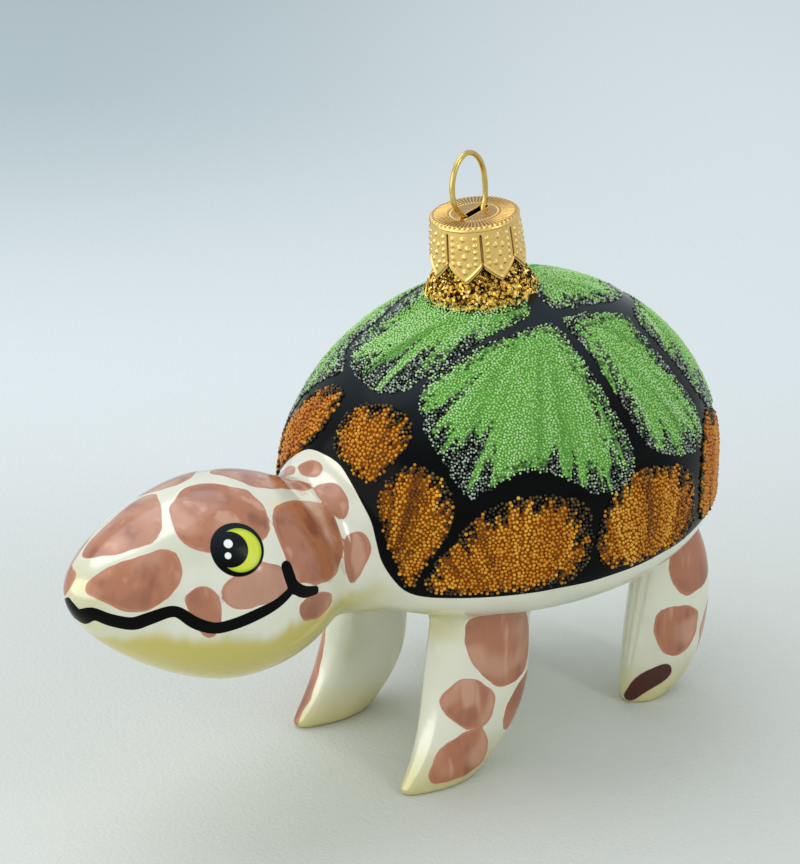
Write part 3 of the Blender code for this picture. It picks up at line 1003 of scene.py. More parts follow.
@dataclass(frozen=True)
class PaintedGlass:
    """Blown glass in pearl lacquer, hand-painted with terracotta spots and black enamel under a clear gloss.

    To the eye it is a wet, white shine with a faint grey-green depth. The brush leaves darker cores and pale rims;
    its pale streaks in the spots are partly a painted highlight. The black enamel is painted toward slate where it
    faces up, as a painted reflection of the ceiling, and the paint under the beads is kept darker than the beads, as
    painted shade in their gaps.
    """

    pearl: str = "#e6e5d2"
    pearl_shade: str = "#c3c4aa"
    olive: str = "#cbbd5c"
    spot: str = "#ac6a48"
    spot_dark: str = "#8c4c34"
    # Pale spot paint, also used for the streaks that are partly a painted highlight
    spot_light: str = "#cf9d82"
    spot_rim: str = "#b9775a"
    toe: str = "#45170f"
    black: str = "#030303"
    # Painted reflection of the ceiling on the upward-facing black
    slate: str = "#262d32"
    iris: str = "#d2dd4a"
    iris_edge: str = "#a2bd30"
    glint: str = "#f4f6f0"
    # Paints under the green and orange beads, darker than the beads as painted shade in their gaps
    green: str = "#6cab48"
    amber: str = "#96540a"
    varnish: str = "#2e1a05"
    edge: float = 0.06

    def build(self) -> bpy.types.Material:
        """Makes the material.

        Returns:
            The material of the whole skin.
        """
        # Pearl lacquer is flowed on, so it clouds over a centimetre. In the spots the brush leaves marks 3 mm wide
        # and four times as long, whose pale streaks are partly a painted highlight, the paint pools in washes of 8 mm,
        # and the hand wavers every 4 mm
        manner: tuple[Row, ...] = (
            ("cloud", Step.GRAIN, "place", cells(11.111), 3.0),
            ("brush_run", Step.TURNED, "place", (0.5, 0.3, 0.2), (cells(3.3333), cells(3.3333), cells(13.333))),
            ("brush", Step.GRAIN, "brush_run", 1.0, 2.0),
            ("wash", Step.GRAIN, "place", cells(8.0), 1.0),
            ("hand", Step.GRAIN, "place", cells(4.348), 1.0),
            ("wobble", Step.SCALED, "hand", 1.5, -0.75),
            ("spot_edge", Step.SUM, "spots_here", "wobble"),
        )
        pearl: tuple[Row, ...] = (
            ("clouding", Step.SHARE, "cloud", 0.45, 0.75, 0.0, 0.5),
            ("colour", Step.COAT, "clouding", "pearl", "pearl_shade"),
            ("tint", Step.PRODUCT, "olive_here", 0.95),
            ("colour", Step.COAT, "tint", "colour", "olive"),
        )
        terracotta: tuple[Row, ...] = (
            ("cores", Step.SHARE, "brush", 0.28, 0.5),
            ("body", Step.COAT, "cores", "spot_dark", "spot"),
            # Pale streaks along the brush marks: partly real brush marks, partly a painted highlight
            ("streaks", Step.SHARE, "brush", 0.57, 0.68, 0.0, 0.7),
            ("body", Step.COAT, "streaks", "body", "spot_light"),
            ("thin", Step.SHARE, "wash", 0.52, 0.68, 0.0, 0.6),
            ("body", Step.COAT, "thin", "body", "spot_light"),
            ("pooled", Step.SHARE, "wash", 0.45, 0.32, 0.0, 0.55),
            ("body", Step.COAT, "pooled", "body", "spot_dark"),
            ("inner", Step.SHARE, "spots_here", 0.1, 0.55, 0.3, 1.0),
            ("body", Step.COAT, "inner", "spot_rim", "body"),
            ("in_spot", Step.SHARE, "spot_edge", -0.07, 0.12, 0.0, 0.97),
            ("colour", Step.COAT, "in_spot", "colour", "body"),
            ("in_toe", Step.SHARE, "toes_here", -0.5, -0.3),
            ("colour", Step.COAT, "in_toe", "colour", "toe"),
        )
        # The eye is folded onto both sides. Its images behind lie deep inside the shell, where nothing shows
        eye: list[Row] = [("folded", Step.FOLDED, "place")]
        for part, (x, y, z, radius) in asdict(EyePaint()).items():
            outer, inner = (radius + self.edge) * MM, (radius - self.edge) * MM
            eye.append((f"from_{part}", Step.DISTANCE, "folded", (x * MM, -y * MM, z * MM)))
            eye.append((f"in_{part}", Step.SHARE, f"from_{part}", outer, inner))
        enamel: tuple[Row, ...] = (
            ("in_lacquer", Step.SHARE, "lacquer_here", -0.04, 0.05),
            ("in_line", Step.SHARE, "lines_here", -0.04, 0.05),
            ("drawn", Step.MOST, "in_lacquer", "in_line"),
            ("enamel", Step.MOST, "drawn", "in_ball"),
            # The black turns toward slate where the skin faces up: a painted reflection of the ceiling
            ("sky", Step.SHARE, "skyward_here", 0.45, 0.95),
            ("enamel_colour", Step.COAT, "sky", "black", "slate"),
            ("colour", Step.COAT, "enamel", "colour", "enamel_colour"),
            ("iris_rim", Step.SHARE, "from_iris", 2.6 * MM, 3.3 * MM),
            ("lime", Step.COAT, "iris_rim", "iris", "iris_edge"),
            ("off_pupil", Step.LESS, 1.0, "in_pupil"),
            ("crescent", Step.PRODUCT, "in_iris", "off_pupil"),
            ("colour", Step.COAT, "crescent", "colour", "lime"),
            ("glints", Step.MOST, "in_big_glint", "in_small_glint"),
            ("colour", Step.COAT, "glints", "colour", "glint"),
        )
        # The paint that the beads are set in, kept darker than the beads as painted shade in their gaps, and the bare
        # lacquer where its strokes part
        plates: tuple[Row, ...] = (
            ("painted", Step.SHARE, "strokes_here", -0.1, 0.1),
            ("under", Step.COAT, "green_here", "amber", "green"),
            ("under", Step.COAT, "painted", "black", "under"),
            ("in_crust", Step.SHARE, "crust_here", 0.0, 0.1),
            ("crusted", Step.PRODUCT, "in_crust", "in_lacquer"),
            ("colour", Step.COAT, "crusted", "colour", "under"),
            ("in_varnish", Step.SHARE, "varnish_here", -0.1, 0.1),
            ("Base Color", Step.COAT, "in_varnish", "colour", "varnish"),
        )
        # Silver behind the pearl gives the bare glass soft mirror streaks. Enamel hides it
        gloss: tuple[Row, ...] = (
            ("on_spot", Step.SHARE, "spots_here", -0.1, 0.1),
            ("covered", Step.MOST, "enamel", "on_spot"),
            ("bare", Step.LESS, 1.0, "covered"),
            ("Metallic", Step.PRODUCT, "bare", 0.2),
            ("Specular IOR Level", Step.SHARE, "enamel", 0.0, 1.0, 0.5, 0.07),
            ("Roughness", Step.SHARE, "crusted", 0.0, 1.0, 0.17, 0.5),
            ("Coat Weight", Step.SHARE, "enamel", 0.0, 1.0, 0.2, 0.0),
        )
        colours = {key: value for key, value in asdict(self).items() if isinstance(value, str)}
        carried = ("olive", "spots", "toes", "lacquer", "lines", "skyward", "strokes", "green", "crust", "varnish")
        rows = (*manner, *pearl, *terracotta, *eye, *enamel, *plates, *gloss)
        fixed = {"IOR": 1.52, "Coat Roughness": 0.04}
        return make_material("pearl_lacquer_and_enamel_on_blown_glass", colours, carried, rows, fixed)


@dataclass
class GlassBody:
    """The whole blown body: shell, head, throat, legs and pipe as one softened skin."""

    shell: ShellForm = field(default_factory=ShellForm)
    head: HeadForm = field(default_factory=HeadForm)
    axis: CapAxis = field(default_factory=CapAxis)
    voxel: float = 0.55
    softening: int = 12
    neck_softening: int = 50
    pipe_sections: tuple[Corner, ...] = (
        (0.9, 5.7), (1.4, 6.0), (7.8, 6.0), (8.9, 6.2), (9.6, 6.9), (10.8, 7.55), (12.1, 8.3), (14.0, 9.3),
    )

    def legs(self) -> list[LegForm]:
        """Places the four legs. The right hind one steps forward.

        Returns:
            The legs.
        """
        return [
            LegForm(1, -10.7, FORE_SECTIONS), LegForm(-1, -10.7, FORE_SECTIONS),
            LegForm(1, 36.2, HIND_SECTIONS), LegForm(-1, 20.2, HIND_SECTIONS),
        ]

    def build(self) -> bpy.types.Object:
        """Joins the lofts into one skin, softens it and gives it its painted values.

        Returns:
            The skin.
        """
        turns = np.arange(64) * math.tau / 64
        pipe = np.array([self.axis.place(depth, radius, turns) for depth, radius in self.pipe_sections])
        lofts = [self.shell.rings(144, 40), self.head.rings(112, 56), self.head.throat_rings(96), pipe]
        lofts += [leg.rings(176) for leg in self.legs()]
        points, faces, start = [], [], 0
        for rings in lofts:
            count, around = rings.shape[:2]
            points.append(rings.reshape(-1, 3))
            faces += [tuple(start + i for i in face) for face in loft_faces(count, around)]
            start += count * around
        item = make_mesh("turtle_glass", np.concatenate(points), faces)
        remesh = item.modifiers.new("skin", "REMESH")
        remesh.mode = "VOXEL"
        remesh.voxel_size = self.voxel * MM
        remesh.use_smooth_shade = True
        item = settled(item)
        self.soften(item.data)
        Painter(self.shell, self.axis).dress(item.data)
        item.data.materials.append(PaintedGlass().build())
        piece(item, "painted_glass", "glass_turtle")
        return item

    def soften(self, mesh: bpy.types.Mesh) -> None:
        """Evens out the skin, less at the toes, as glass flows where the parts meet.

        Args:
            mesh: The skin.
        """
        count = len(mesh.vertices)
        edges = np.empty(len(mesh.edges) * 2, dtype=np.int32)
        mesh.edges.foreach_get("vertices", edges)
        edges = edges.reshape(-1, 2)
        places = np.empty(count * 3)
        mesh.vertices.foreach_get("co", places)
        places = places.reshape(-1, 3)
        links = np.bincount(edges.ravel(), minlength=count)[:, None]
        # The toes keep their edges, and the neck melts longest
        hold = (0.15 + 0.45 * smooth_step(places[:, 2] / MM, 1.0, 6.0))[:, None]
        y = places[:, 1] / MM
        neck = 0.6 * (smooth_step(y, -36.0, -28.0) * (1.0 - smooth_step(y, -15.5, -11.0)))[:, None]
        for turn in range(self.softening + self.neck_softening):
            if turn == self.softening:
                hold = neck
            total = np.zeros_like(places)
            for axis in range(3):
                total[:, axis] = np.bincount(edges[:, 0], places[edges[:, 1], axis], count)
                total[:, axis] += np.bincount(edges[:, 1], places[edges[:, 0], axis], count)
            places = places + hold * (total / links - places)
        mesh.vertices.foreach_set("co", places.ravel())
        mesh.update()


@dataclass(frozen=True)
class CrustBeads:
    """Clear glass beads of one size, set in wet paint, so each takes the colour of what it lies on.

    Over bare lacquer they stay dark with a bright fleck, and a random share of them is painted pale, as a painted
    glint. Over green they look frosty, and over orange they glow amber.
    """

    name: str
    size: float
    spacing: float
    colours: tuple[str, str, str]
    bare: str
    sparkle: str
    red: str
    frost: float
    mingle: float
    shine: float

    def build(self) -> bpy.types.Material:
        """Makes the beads' material from the values that each bead carries.

        Returns:
            The material of this kind of bead.
        """
        deep, main, light = self.colours
        colours = {
            "deep": deep, "main": main, "light": light, "bare": self.bare, "sparkle": self.sparkle, "red": self.red,
        }
        rows: tuple[Row, ...] = (
            ("toned", Step.PRODUCT, "tone_here", 0.8),
            ("grained", Step.PRODUCT, "grain_here", 0.2),
            ("shade", Step.SUM, "toned", "grained"),
            ("lit", Step.SHARE, "shade", 0.22, 0.48),
            ("colour", Step.COAT, "lit", "deep", "main"),
            ("bright", Step.SHARE, "shade", 0.48, 0.8),
            ("colour", Step.COAT, "bright", "colour", "light"),
            ("reddened", Step.COAT, "grain_here", "red", "main"),
            ("red_share", Step.PRODUCT, "redness_here", 0.7),
            ("colour", Step.COAT, "red_share", "colour", "reddened"),
            # A random share of the bare beads is painted toward the sparkle colour, as a painted glint
            ("frosted", Step.SHARE, "grain_here", 0.0, 1.0, 0.0, self.frost),
            ("clear", Step.COAT, "frosted", "bare", "sparkle"),
            ("mingled", Step.SHARE, "grain_here", 0.0, 1.0, -self.mingle, self.mingle),
            ("edge", Step.SUM, "strokes_here", "mingled"),
            ("in_stroke", Step.SHARE, "edge", -0.4, 0.4),
            ("Base Color", Step.COAT, "in_stroke", "clear", "colour"),
        )
        fixed = {"Roughness": 0.3, "IOR": 1.52, "Specular IOR Level": self.shine}
        carried = ("grain", "tone", "redness", "strokes")
        return make_material(f"glass_beads_over_{self.name}_paint", colours, carried, rows, fixed)


class Form(Enum):
    """The small forms that a patch can be strewn with."""

    BEAD = "a ball"
    FLAKE = "a thin hexagon"


class ScatterTree:
    """Geometry nodes that strew one small form over a patch and keep the values that the patch carries."""

    def __init__(self, name: str, form: Form, material: bpy.types.Material, flat: bool) -> None:
        """Builds the tree.

        Args:
            name: The tree's name.
            form: What is strewn.
            material: What the forms are made of.
            flat: Whether the forms keep to the skin instead of tumbling.
        """
        tree = bpy.data.node_groups.new(name, "GeometryNodeTree")
        self.tree = tree
        self.sockets: dict[str, str] = {}
        tree.interface.new_socket("Geometry", in_out="INPUT", socket_type="NodeSocketGeometry")
        tree.interface.new_socket("Geometry", in_out="OUTPUT", socket_type="NodeSocketGeometry")
        for label in ("Size", "Spacing", "Lift", "Uneven", "Seed"):
            kind = "NodeSocketInt" if label == "Seed" else "NodeSocketFloat"
            made = tree.interface.new_socket(label, in_out="INPUT", socket_type=kind)
            self.sockets[label] = made.identifier
        given = add_node(tree, "NodeGroupInput").outputs
        edge = add_node(tree, "GeometryNodeInputNamedAttribute", {"Name": "crust"}, data_type="FLOAT").outputs[0]
        strewn = add_node(
            tree, "GeometryNodeDistributePointsOnFaces",
            {"Mesh": given["Geometry"], "Distance Min": given["Spacing"], "Density Max": 2.5e7, "Seed": given["Seed"]},
            distribute_method="POISSON",
        )
        outside = add_node(
            tree, "FunctionNodeCompare", {0: edge, 1: 0.0}, data_type="FLOAT", operation="LESS_THAN"
        ).outputs[0]
        kept = add_node(
            tree, "GeometryNodeDeleteGeometry",
            {"Geometry": strewn.outputs["Points"], "Selection": outside}, domain="POINT",
        )
        lift = add_node(
            tree, "FunctionNodeRandomValue", {2: 0.3, 3: 1.0, "Seed": given["Seed"]}, data_type="FLOAT"
        ).outputs[1]
        height = add_node(tree, "ShaderNodeMath", {0: lift, 1: given["Lift"]}, operation="MULTIPLY").outputs[0]
        along = add_node(
            tree, "ShaderNodeVectorMath", {0: strewn.outputs["Normal"], "Scale": height}, operation="SCALE"
        ).outputs[0]
        raised = add_node(tree, "GeometryNodeSetPosition", {"Geometry": kept.outputs[0], "Offset": along})
        grain = add_node(tree, "FunctionNodeRandomValue", {2: 0.0, 3: 1.0, "Seed": 7}, data_type="FLOAT").outputs[1]
        marked = add_node(
            tree, "GeometryNodeStoreNamedAttribute",
            {"Geometry": raised.outputs[0], "Name": "grain", "Value": grain}, data_type="FLOAT", domain="POINT",
        )
        if form is Form.BEAD:
            shape = add_node(tree, "GeometryNodeMeshIcoSphere", {"Radius": 0.5, "Subdivisions": 1}).outputs[0]
        else:
            corners = {"Vertices": 6, "Radius": 0.5}
            shape = add_node(tree, "GeometryNodeMeshCircle", corners, fill_type="TRIANGLE_FAN").outputs[0]
        low = add_node(tree, "ShaderNodeMath", {0: 1.0, 1: given["Uneven"]}, operation="SUBTRACT").outputs[0]
        high = add_node(tree, "ShaderNodeMath", {0: 1.0, 1: given["Uneven"]}, operation="ADD").outputs[0]
        share = add_node(tree, "FunctionNodeRandomValue", {2: low, 3: high, "Seed": 11}, data_type="FLOAT").outputs[1]
        size = add_node(tree, "ShaderNodeMath", {0: share, 1: given["Size"]}, operation="MULTIPLY").outputs[0]
        tumble = math.pi / (4.0 if flat else 1.0)
        turned = add_node(
            tree, "FunctionNodeRandomValue",
            {0: (-tumble,) * 3, 1: (tumble,) * 3, "Seed": 13}, data_type="FLOAT_VECTOR",
        ).outputs[0]
        rotation = add_node(
            tree, "FunctionNodeRotateRotation",
            {0: strewn.outputs["Rotation"], 1: turned}, rotation_space="LOCAL",
        ).outputs[0]
        placed = add_node(
            tree, "GeometryNodeInstanceOnPoints",
            {"Points": marked.outputs[0], "Instance": shape, "Rotation": rotation, "Scale": size},
        )
        real = add_node(tree, "GeometryNodeRealizeInstances", {0: placed.outputs[0]})
        smooth = add_node(tree, "GeometryNodeSetShadeSmooth", {0: real.outputs[0], "Shade Smooth": form is Form.BEAD})
        dressed = add_node(tree, "GeometryNodeSetMaterial", {0: smooth.outputs[0], "Material": material})
        add_node(tree, "NodeGroupOutput", {0: dressed.outputs[0]})

    def strew(
        self, patch: bpy.types.Object, size: float, spacing: float, lift: float, uneven: float, seed: int
    ) -> bpy.types.Object:
        """Covers a patch and turns it into the strewn forms alone.

        Args:
            patch: What gets covered.
            size: Width of a form in millimetres.
            spacing: Least distance between two forms in millimetres.
            lift: How far a form may stand above the patch in millimetres.
            uneven: Share by which sizes differ.
            seed: Picks the random places.

        Returns:
            The object of the strewn forms.
        """
        modifier = patch.modifiers.new("strewn", "NODES")
        modifier.node_group = self.tree
        sizes = {"Size": size * MM, "Spacing": spacing * MM, "Lift": lift * MM, "Uneven": uneven, "Seed": seed}
        for label, value in sizes.items():
            modifier[self.sockets[label]] = value
        return settled(patch)


@dataclass
class BeadCrusts:
    """The crust of beads on each plate of the shell."""

    body: GlassBody
    # Their sparkle colours are painted onto a random share of the bare beads, as a painted glint
    green: CrustBeads = CrustBeads(
        "green", 0.40, 0.34, ("#6aa44c", "#a0d477", "#bce0a2"), "#141b16", "#b4c6b2", "#98cc6c", 0.95, 1.6, 0.6
    )
    orange: CrustBeads = CrustBeads(
        "orange", 0.60, 0.48, ("#6c3a04", "#cc860e", "#eab43c"), "#080502", "#7a5e26", "#d0640e", 0.65, 0.8, 0.4
    )
    crust_overlap: float = 0.8
    collar_radius: float = 8.0
    collar_depth: float = 20.0
    edge_clearance: float = 0.5
    lift: float = 0.4
    uneven: float = 0.18

    def patch(self, skin: bpy.types.Object, scute: Scute) -> bpy.types.Object:
        """Copies the skin's faces under one plate, with their painted values.

        Args:
            skin: The glass body's skin.
            scute: The plate.

        Returns:
            The patch that the beads are strewn on.
        """
        places, normals = points_of(skin.data)
        painter = Painter(self.body.shell, self.body.axis)
        depth, strokes, tone = painter.crust(scute, places, normals)
        drop, out = self.body.axis.measure(places)
        depth = np.minimum(depth, np.where(drop < self.collar_depth, out - self.collar_radius, -OUTSIDE))
        depth = np.minimum(depth, painter.lacquer(places) - self.edge_clearance)
        corners = np.empty(len(skin.data.polygons) * 4, dtype=np.int32)
        skin.data.polygons.foreach_get("vertices", corners)
        corners = corners.reshape(-1, 4)
        chosen = corners[(depth[corners] > -self.crust_overlap).any(axis=1)]
        used, renumbered = np.unique(chosen, return_inverse=True)
        item = make_mesh(f"beads_{scute.name}", places[used], [tuple(f) for f in renumbered.reshape(-1, 4).tolist()])
        carry(item.data, "crust", depth[used])
        carry(item.data, "strokes", strokes[used])
        carry(item.data, "tone", tone[used])
        carry(item.data, "redness", np.full(len(used), scute.redness))
        return item

    def build(self, skin: bpy.types.Object) -> None:
        """Covers every plate.

        Args:
            skin: The glass body's skin.
        """
        trees = {}
        for kind, beads in ((Beads.GREEN, self.green), (Beads.ORANGE, self.orange)):
            trees[kind] = (ScatterTree(f"strew_{beads.name}_beads", Form.BEAD, beads.build(), False), beads)
        for number, scute in enumerate(SCUTES):
            tree, beads = trees[scute.beads]
            patch = self.patch(skin, scute)
            item = tree.strew(patch, beads.size, beads.spacing, self.lift * beads.size, self.uneven, number)
            piece(item, "painted_glass")


@dataclass(frozen=True)
class GlitterFoil:
    """Punched gold foil glitter in varnish: each flake is a small mirror, so some flare and others go dark. The flare
    is painted into a random share of the flakes as a painted highlight, and the dark flakes are partly dark foil and
    partly painted shade.
    """

    bright: str = "#ffe07c"
    mean: str = "#eeae30"
    dark: str = "#2a1402"

    def build(self) -> bpy.types.Material:
        """Makes the flakes' material.

        Returns:
            The material of every flake.
        """
        rows: tuple[Row, ...] = (
            # Flakes are painted dark or bright at random: painted shade and painted highlight over the foil's gold
            ("lit", Step.SHARE, "grain_here", 0.15, 0.4),
            ("colour", Step.COAT, "lit", "dark", "mean"),
            ("flare", Step.SHARE, "grain_here", 0.45, 0.8),
            ("Base Color", Step.COAT, "flare", "colour", "bright"),
        )
        return make_material("gold_foil_glitter", asdict(self), ("grain",), rows, {"Metallic": 0.8, "Roughness": 0.3})


@dataclass
class GlitterCollar:
    """The ragged collar of glitter round the foot of the pipe."""

    axis: CapAxis
    sections: tuple[Corner, ...] = (
        (5.6, 6.15), (7.8, 6.15), (8.9, 6.4), (9.6, 7.1), (10.8, 7.8), (12.1, 8.5), (13.2, 9.2),
    )
    flake: float = 0.44
    spacing: float = 0.17
    points: int = 160
    lift: float = 0.12
    uneven: float = 0.35
    seed: int = 5

    def build(self) -> None:
        """Strews flakes over a band round the pipe, down to a wavering edge on the shell."""
        rows = eased_rows(self.sections, 6)
        turns = np.arange(self.points) * math.tau / self.points
        rings = np.array([self.axis.place(depth, radius, turns) for depth, radius in rows])
        faces = loft_faces(len(rings), self.points)[:-2]
        item = make_mesh("glitter_collar", rings.reshape(-1, 3), [face[::-1] for face in faces])
        depths = np.repeat(rows[:, 0], self.points)
        edge = 12.2 + 0.5 * ragged(np.tile(turns, len(rows)) * 9.0, 21)
        carry(item.data, "crust", edge - depths)
        tree = ScatterTree("strew_glitter", Form.FLAKE, GlitterFoil().build(), True)
        made = tree.strew(item, self.flake, self.spacing, self.lift, self.uneven, self.seed)
        piece(made, "painted_glass")


@dataclass(frozen=True)
class StampedSheet:
    """Thin stamped sheet with a gold-coloured anodised skin, satin, its colour painted by its relief: lighter on the
    raised work as a painted highlight, brown in its hollows and near black in its seams as painted shade.
    """

    high: str = "#ffd784"
    low: str = "#7a4614"
    seam: str = "#160b03"

    def build(self) -> bpy.types.Material:
        """Makes the material. Its mottle is 0.7 mm wide, as coarse as it needs to show.

        Returns:
            The cap's material.
        """
        rows: tuple[Row, ...] = (
            ("mottle", Step.GRAIN, "place", cells(0.7143), 2.0),
            # Colour follows the relief: painted shade in hollows and seams, painted highlight on the raised work
            ("height", Step.SHARE, "relief_here", -0.22, 0.1),
            ("fine", Step.PRODUCT, "mottle", 0.2),
            ("raised", Step.SUM, "height", "fine"),
            ("gold", Step.COAT, "raised", "low", "high"),
            ("out_of_seam", Step.SHARE, "relief_here", -0.3, -0.16),
            ("Base Color", Step.COAT, "out_of_seam", "seam", "gold"),
            ("Roughness", Step.SHARE, "mottle", 0.3, 0.7, 0.24, 0.34),
        )
        return make_material("stamped_gold_sheet", asdict(self), ("relief",), rows, {"Metallic": 1.0})


@dataclass
class StampedCap:
    """The cap: a cup with a flat slotted top and a hem of eight pointed petals, stamped with pearls and ridges.

    Pearls run down both edges of a petal, and larger studs are scattered over its middle, by depth and share of the
    petal's width. Their forms are a radius and a height.
    """

    axis: CapAxis
    sheet: float = 0.35
    top_radius: float = 6.9
    waist_radius: float = 7.2
    hem_radius: float = 7.45
    rounding: float = 0.6
    waist_depth: float = 3.5
    notch_depth: float = 6.2
    petal_depth: float = 8.8
    petals: int = 8
    columns: int = 46
    first_seam: float = math.radians(11.4)
    seam_depth: float = 0.34
    slot_length: float = 6.3
    slot_width: float = 1.5
    slot_turn: float = math.atan2(0.976, -0.218)
    pearl_rows: tuple[float, ...] = (1.75, 2.75, 3.75, 4.75, 5.7)
    pearl_columns: Corner = (0.17, 0.83)
    pearl_form: Corner = (0.32, 0.21)
    studs: tuple[Corner, ...] = (
        (1.7, 0.5), (3.0, 0.40), (3.2, 0.62), (4.5, 0.52), (5.7, 0.36), (5.9, 0.64), (6.9, 0.5),
    )
    stud_form: Corner = (0.40, 0.26)

    def slot_radius(self, turns: np.ndarray) -> np.ndarray:
        """Finds the slot's edge.

        Args:
            turns: Directions round the axis.

        Returns:
            Distance from the axis to the edge in each.
        """
        half, end = self.slot_width / 2.0, (self.slot_length - self.slot_width) / 2.0
        run, across = np.abs(np.cos(turns - self.slot_turn)), np.abs(np.sin(turns - self.slot_turn))
        straight = half / np.maximum(across, 1e-6)
        rounded_end = end * run + np.sqrt(np.maximum(half**2 - (end * across) ** 2, 0.0))
        return np.where(straight * run <= end, straight, rounded_end)

    def relief(self, depth: np.ndarray, share: np.ndarray, edge: np.ndarray) -> np.ndarray:
        """Height of the stamped work on the cap's side.

        Args:
            depth: Depths below the cap's top in millimetres.
            share: Places across a petal, from 0 to 1.
            edge: The hem's depth there.

        Returns:
            Millimetres out of the sheet, less than 0 in a seam.
        """
        width = self.waist_radius * math.tau / self.petals
        height = np.zeros_like(depth)
        marks = [(row, centre, *self.pearl_form) for centre in self.pearl_columns for row in self.pearl_rows]
        marks += [(row, centre, *self.stud_form) for row, centre in self.studs]
        for row, centre, radius, rise in marks:
            away = np.hypot((share - centre) * width, depth - row)
            height = np.maximum(height, rise * np.sqrt(np.clip(1.0 - (away / radius) ** 2, 0.0, 1.0)))
        ridge = np.abs(edge - depth - 0.55)
        height = np.maximum(height, 0.2 * smooth_step(-ridge, -0.32, -0.05) * (depth > 4.0))
        seam = np.minimum(share, 1.0 - share) * width
        height = height - self.seam_depth * (1.0 - smooth_step(seam, 0.08, 0.22)) * smooth_step(depth, 1.0, 1.6)
        return height

    def build(self) -> bpy.types.Object:
        """Stamps the cap as one closed sheet round its slot.

        Returns:
            The cap.
        """
        count = self.petals * self.columns
        number = np.arange(count)
        turns = self.first_seam + number * math.tau / count
        share = (number % self.columns) / self.columns
        edge = self.petal_depth + (self.notch_depth - self.petal_depth) * np.abs(2.0 * share - 1.0) ** 1.15
        hole = self.slot_radius(turns)
        rings, relief = [], []
        for step in np.linspace(0.0, 1.0, 44):
            radius = hole + (self.top_radius - self.rounding - hole) * step
            band = smooth_step(radius, 4.0, 4.4) * (1.0 - smooth_step(radius, 6.05, 6.25))
            ridges = 0.09 * np.cos(turns * 64.0) * band
            beads = 0.10 * np.clip(1.0 - ((radius - 3.65) / 0.22) ** 2, 0.0, 1.0) * (0.5 + 0.5 * np.cos(turns * 52.0))
            lip = 0.10 * (1.0 - smooth_step(radius - hole, 0.1, 0.5))
            rings.append(self.axis.place(-(ridges + beads + lip), radius, turns))
            relief.append(ridges + beads + lip - 0.1)
        for step in np.linspace(0.1, 1.0, 9):
            bend = step * math.pi / 2.0
            radius = self.top_radius - self.rounding * (1.0 - math.sin(bend))
            depth = self.rounding * (1.0 - math.cos(bend))
            dents = -0.18 * np.clip(1.0 - np.abs(step - 0.3) / 0.3, 0.0, 1.0) * (0.5 + 0.5 * np.cos(turns * 48.0)) ** 2
            rings.append(self.axis.place(depth - dents, radius + dents, turns))
            relief.append(dents)
        for step in np.linspace(0.0, 1.0, 84)[1:]:
            depth = self.rounding + (edge - self.rounding) * step
            upper = self.top_radius + (self.waist_radius - self.top_radius) * depth / self.waist_depth
            below = (depth - self.waist_depth) / (self.petal_depth - self.waist_depth)
            lower = self.waist_radius + (self.hem_radius - self.waist_radius) * below
            swell = np.where(depth < self.waist_depth, upper, lower)
            height = self.relief(depth, share, edge)
            rings.append(self.axis.place(depth, swell - 0.22 + height, turns))
            relief.append(height)
        # The inside carries a low relief, so it is painted brown, as painted shade
        inner = self.sheet + 0.12
        for step in (1.0, 0.66, 0.33, 0.0):
            depth = self.rounding + (edge - self.rounding) * step
            radius = self.top_radius + (self.hem_radius - self.top_radius) * step - inner
            rings.append(self.axis.place(depth, radius, turns))
            relief.append(np.full(count, -0.15))
        for step in (0.0, 0.5, 1.0):
            radius = self.top_radius - self.rounding - (self.top_radius - self.rounding - hole) * step
            rings.append(self.axis.place(self.sheet, radius, turns))
            relief.append(np.full(count, -0.15))
        points = np.array(rings).reshape(-1, 3)
        faces = [face[::-1] for face in loft_faces(len(rings), count, closed=True)]
        item = make_mesh("stamped_cap", points, faces)
        # The relief also sets the painted light and shade of the cap's colour
        carry(item.data, "relief", np.concatenate(relief))
        item.data.materials.append(StampedSheet().build())
        piece(item, "cap_metal", "cap")
        return item


@dataclass(frozen=True)
class DrawnWire:
    """Gold-coloured drawn wire: bright, with faint lines along it."""

    colour: str = "#f4dc86"
    shade: str = "#b8964c"

    def build(self) -> bpy.types.Material:
        """Makes the material. Its mottle is 1.1 mm wide, as coarse as it needs to show.

        Returns:
            The wire's material.
        """
        rows: tuple[Row, ...] = (
            ("mottle", Step.GRAIN, "place", cells(1.1111), 3.0),
            ("Base Color", Step.COAT, "mottle", "shade", "colour"),
            ("Roughness", Step.SHARE, "mottle", 0.3, 0.7, 0.2, 0.32),
        )
        return make_material("drawn_gold_wire", asdict(self), (), rows, {"Metallic": 1.0})


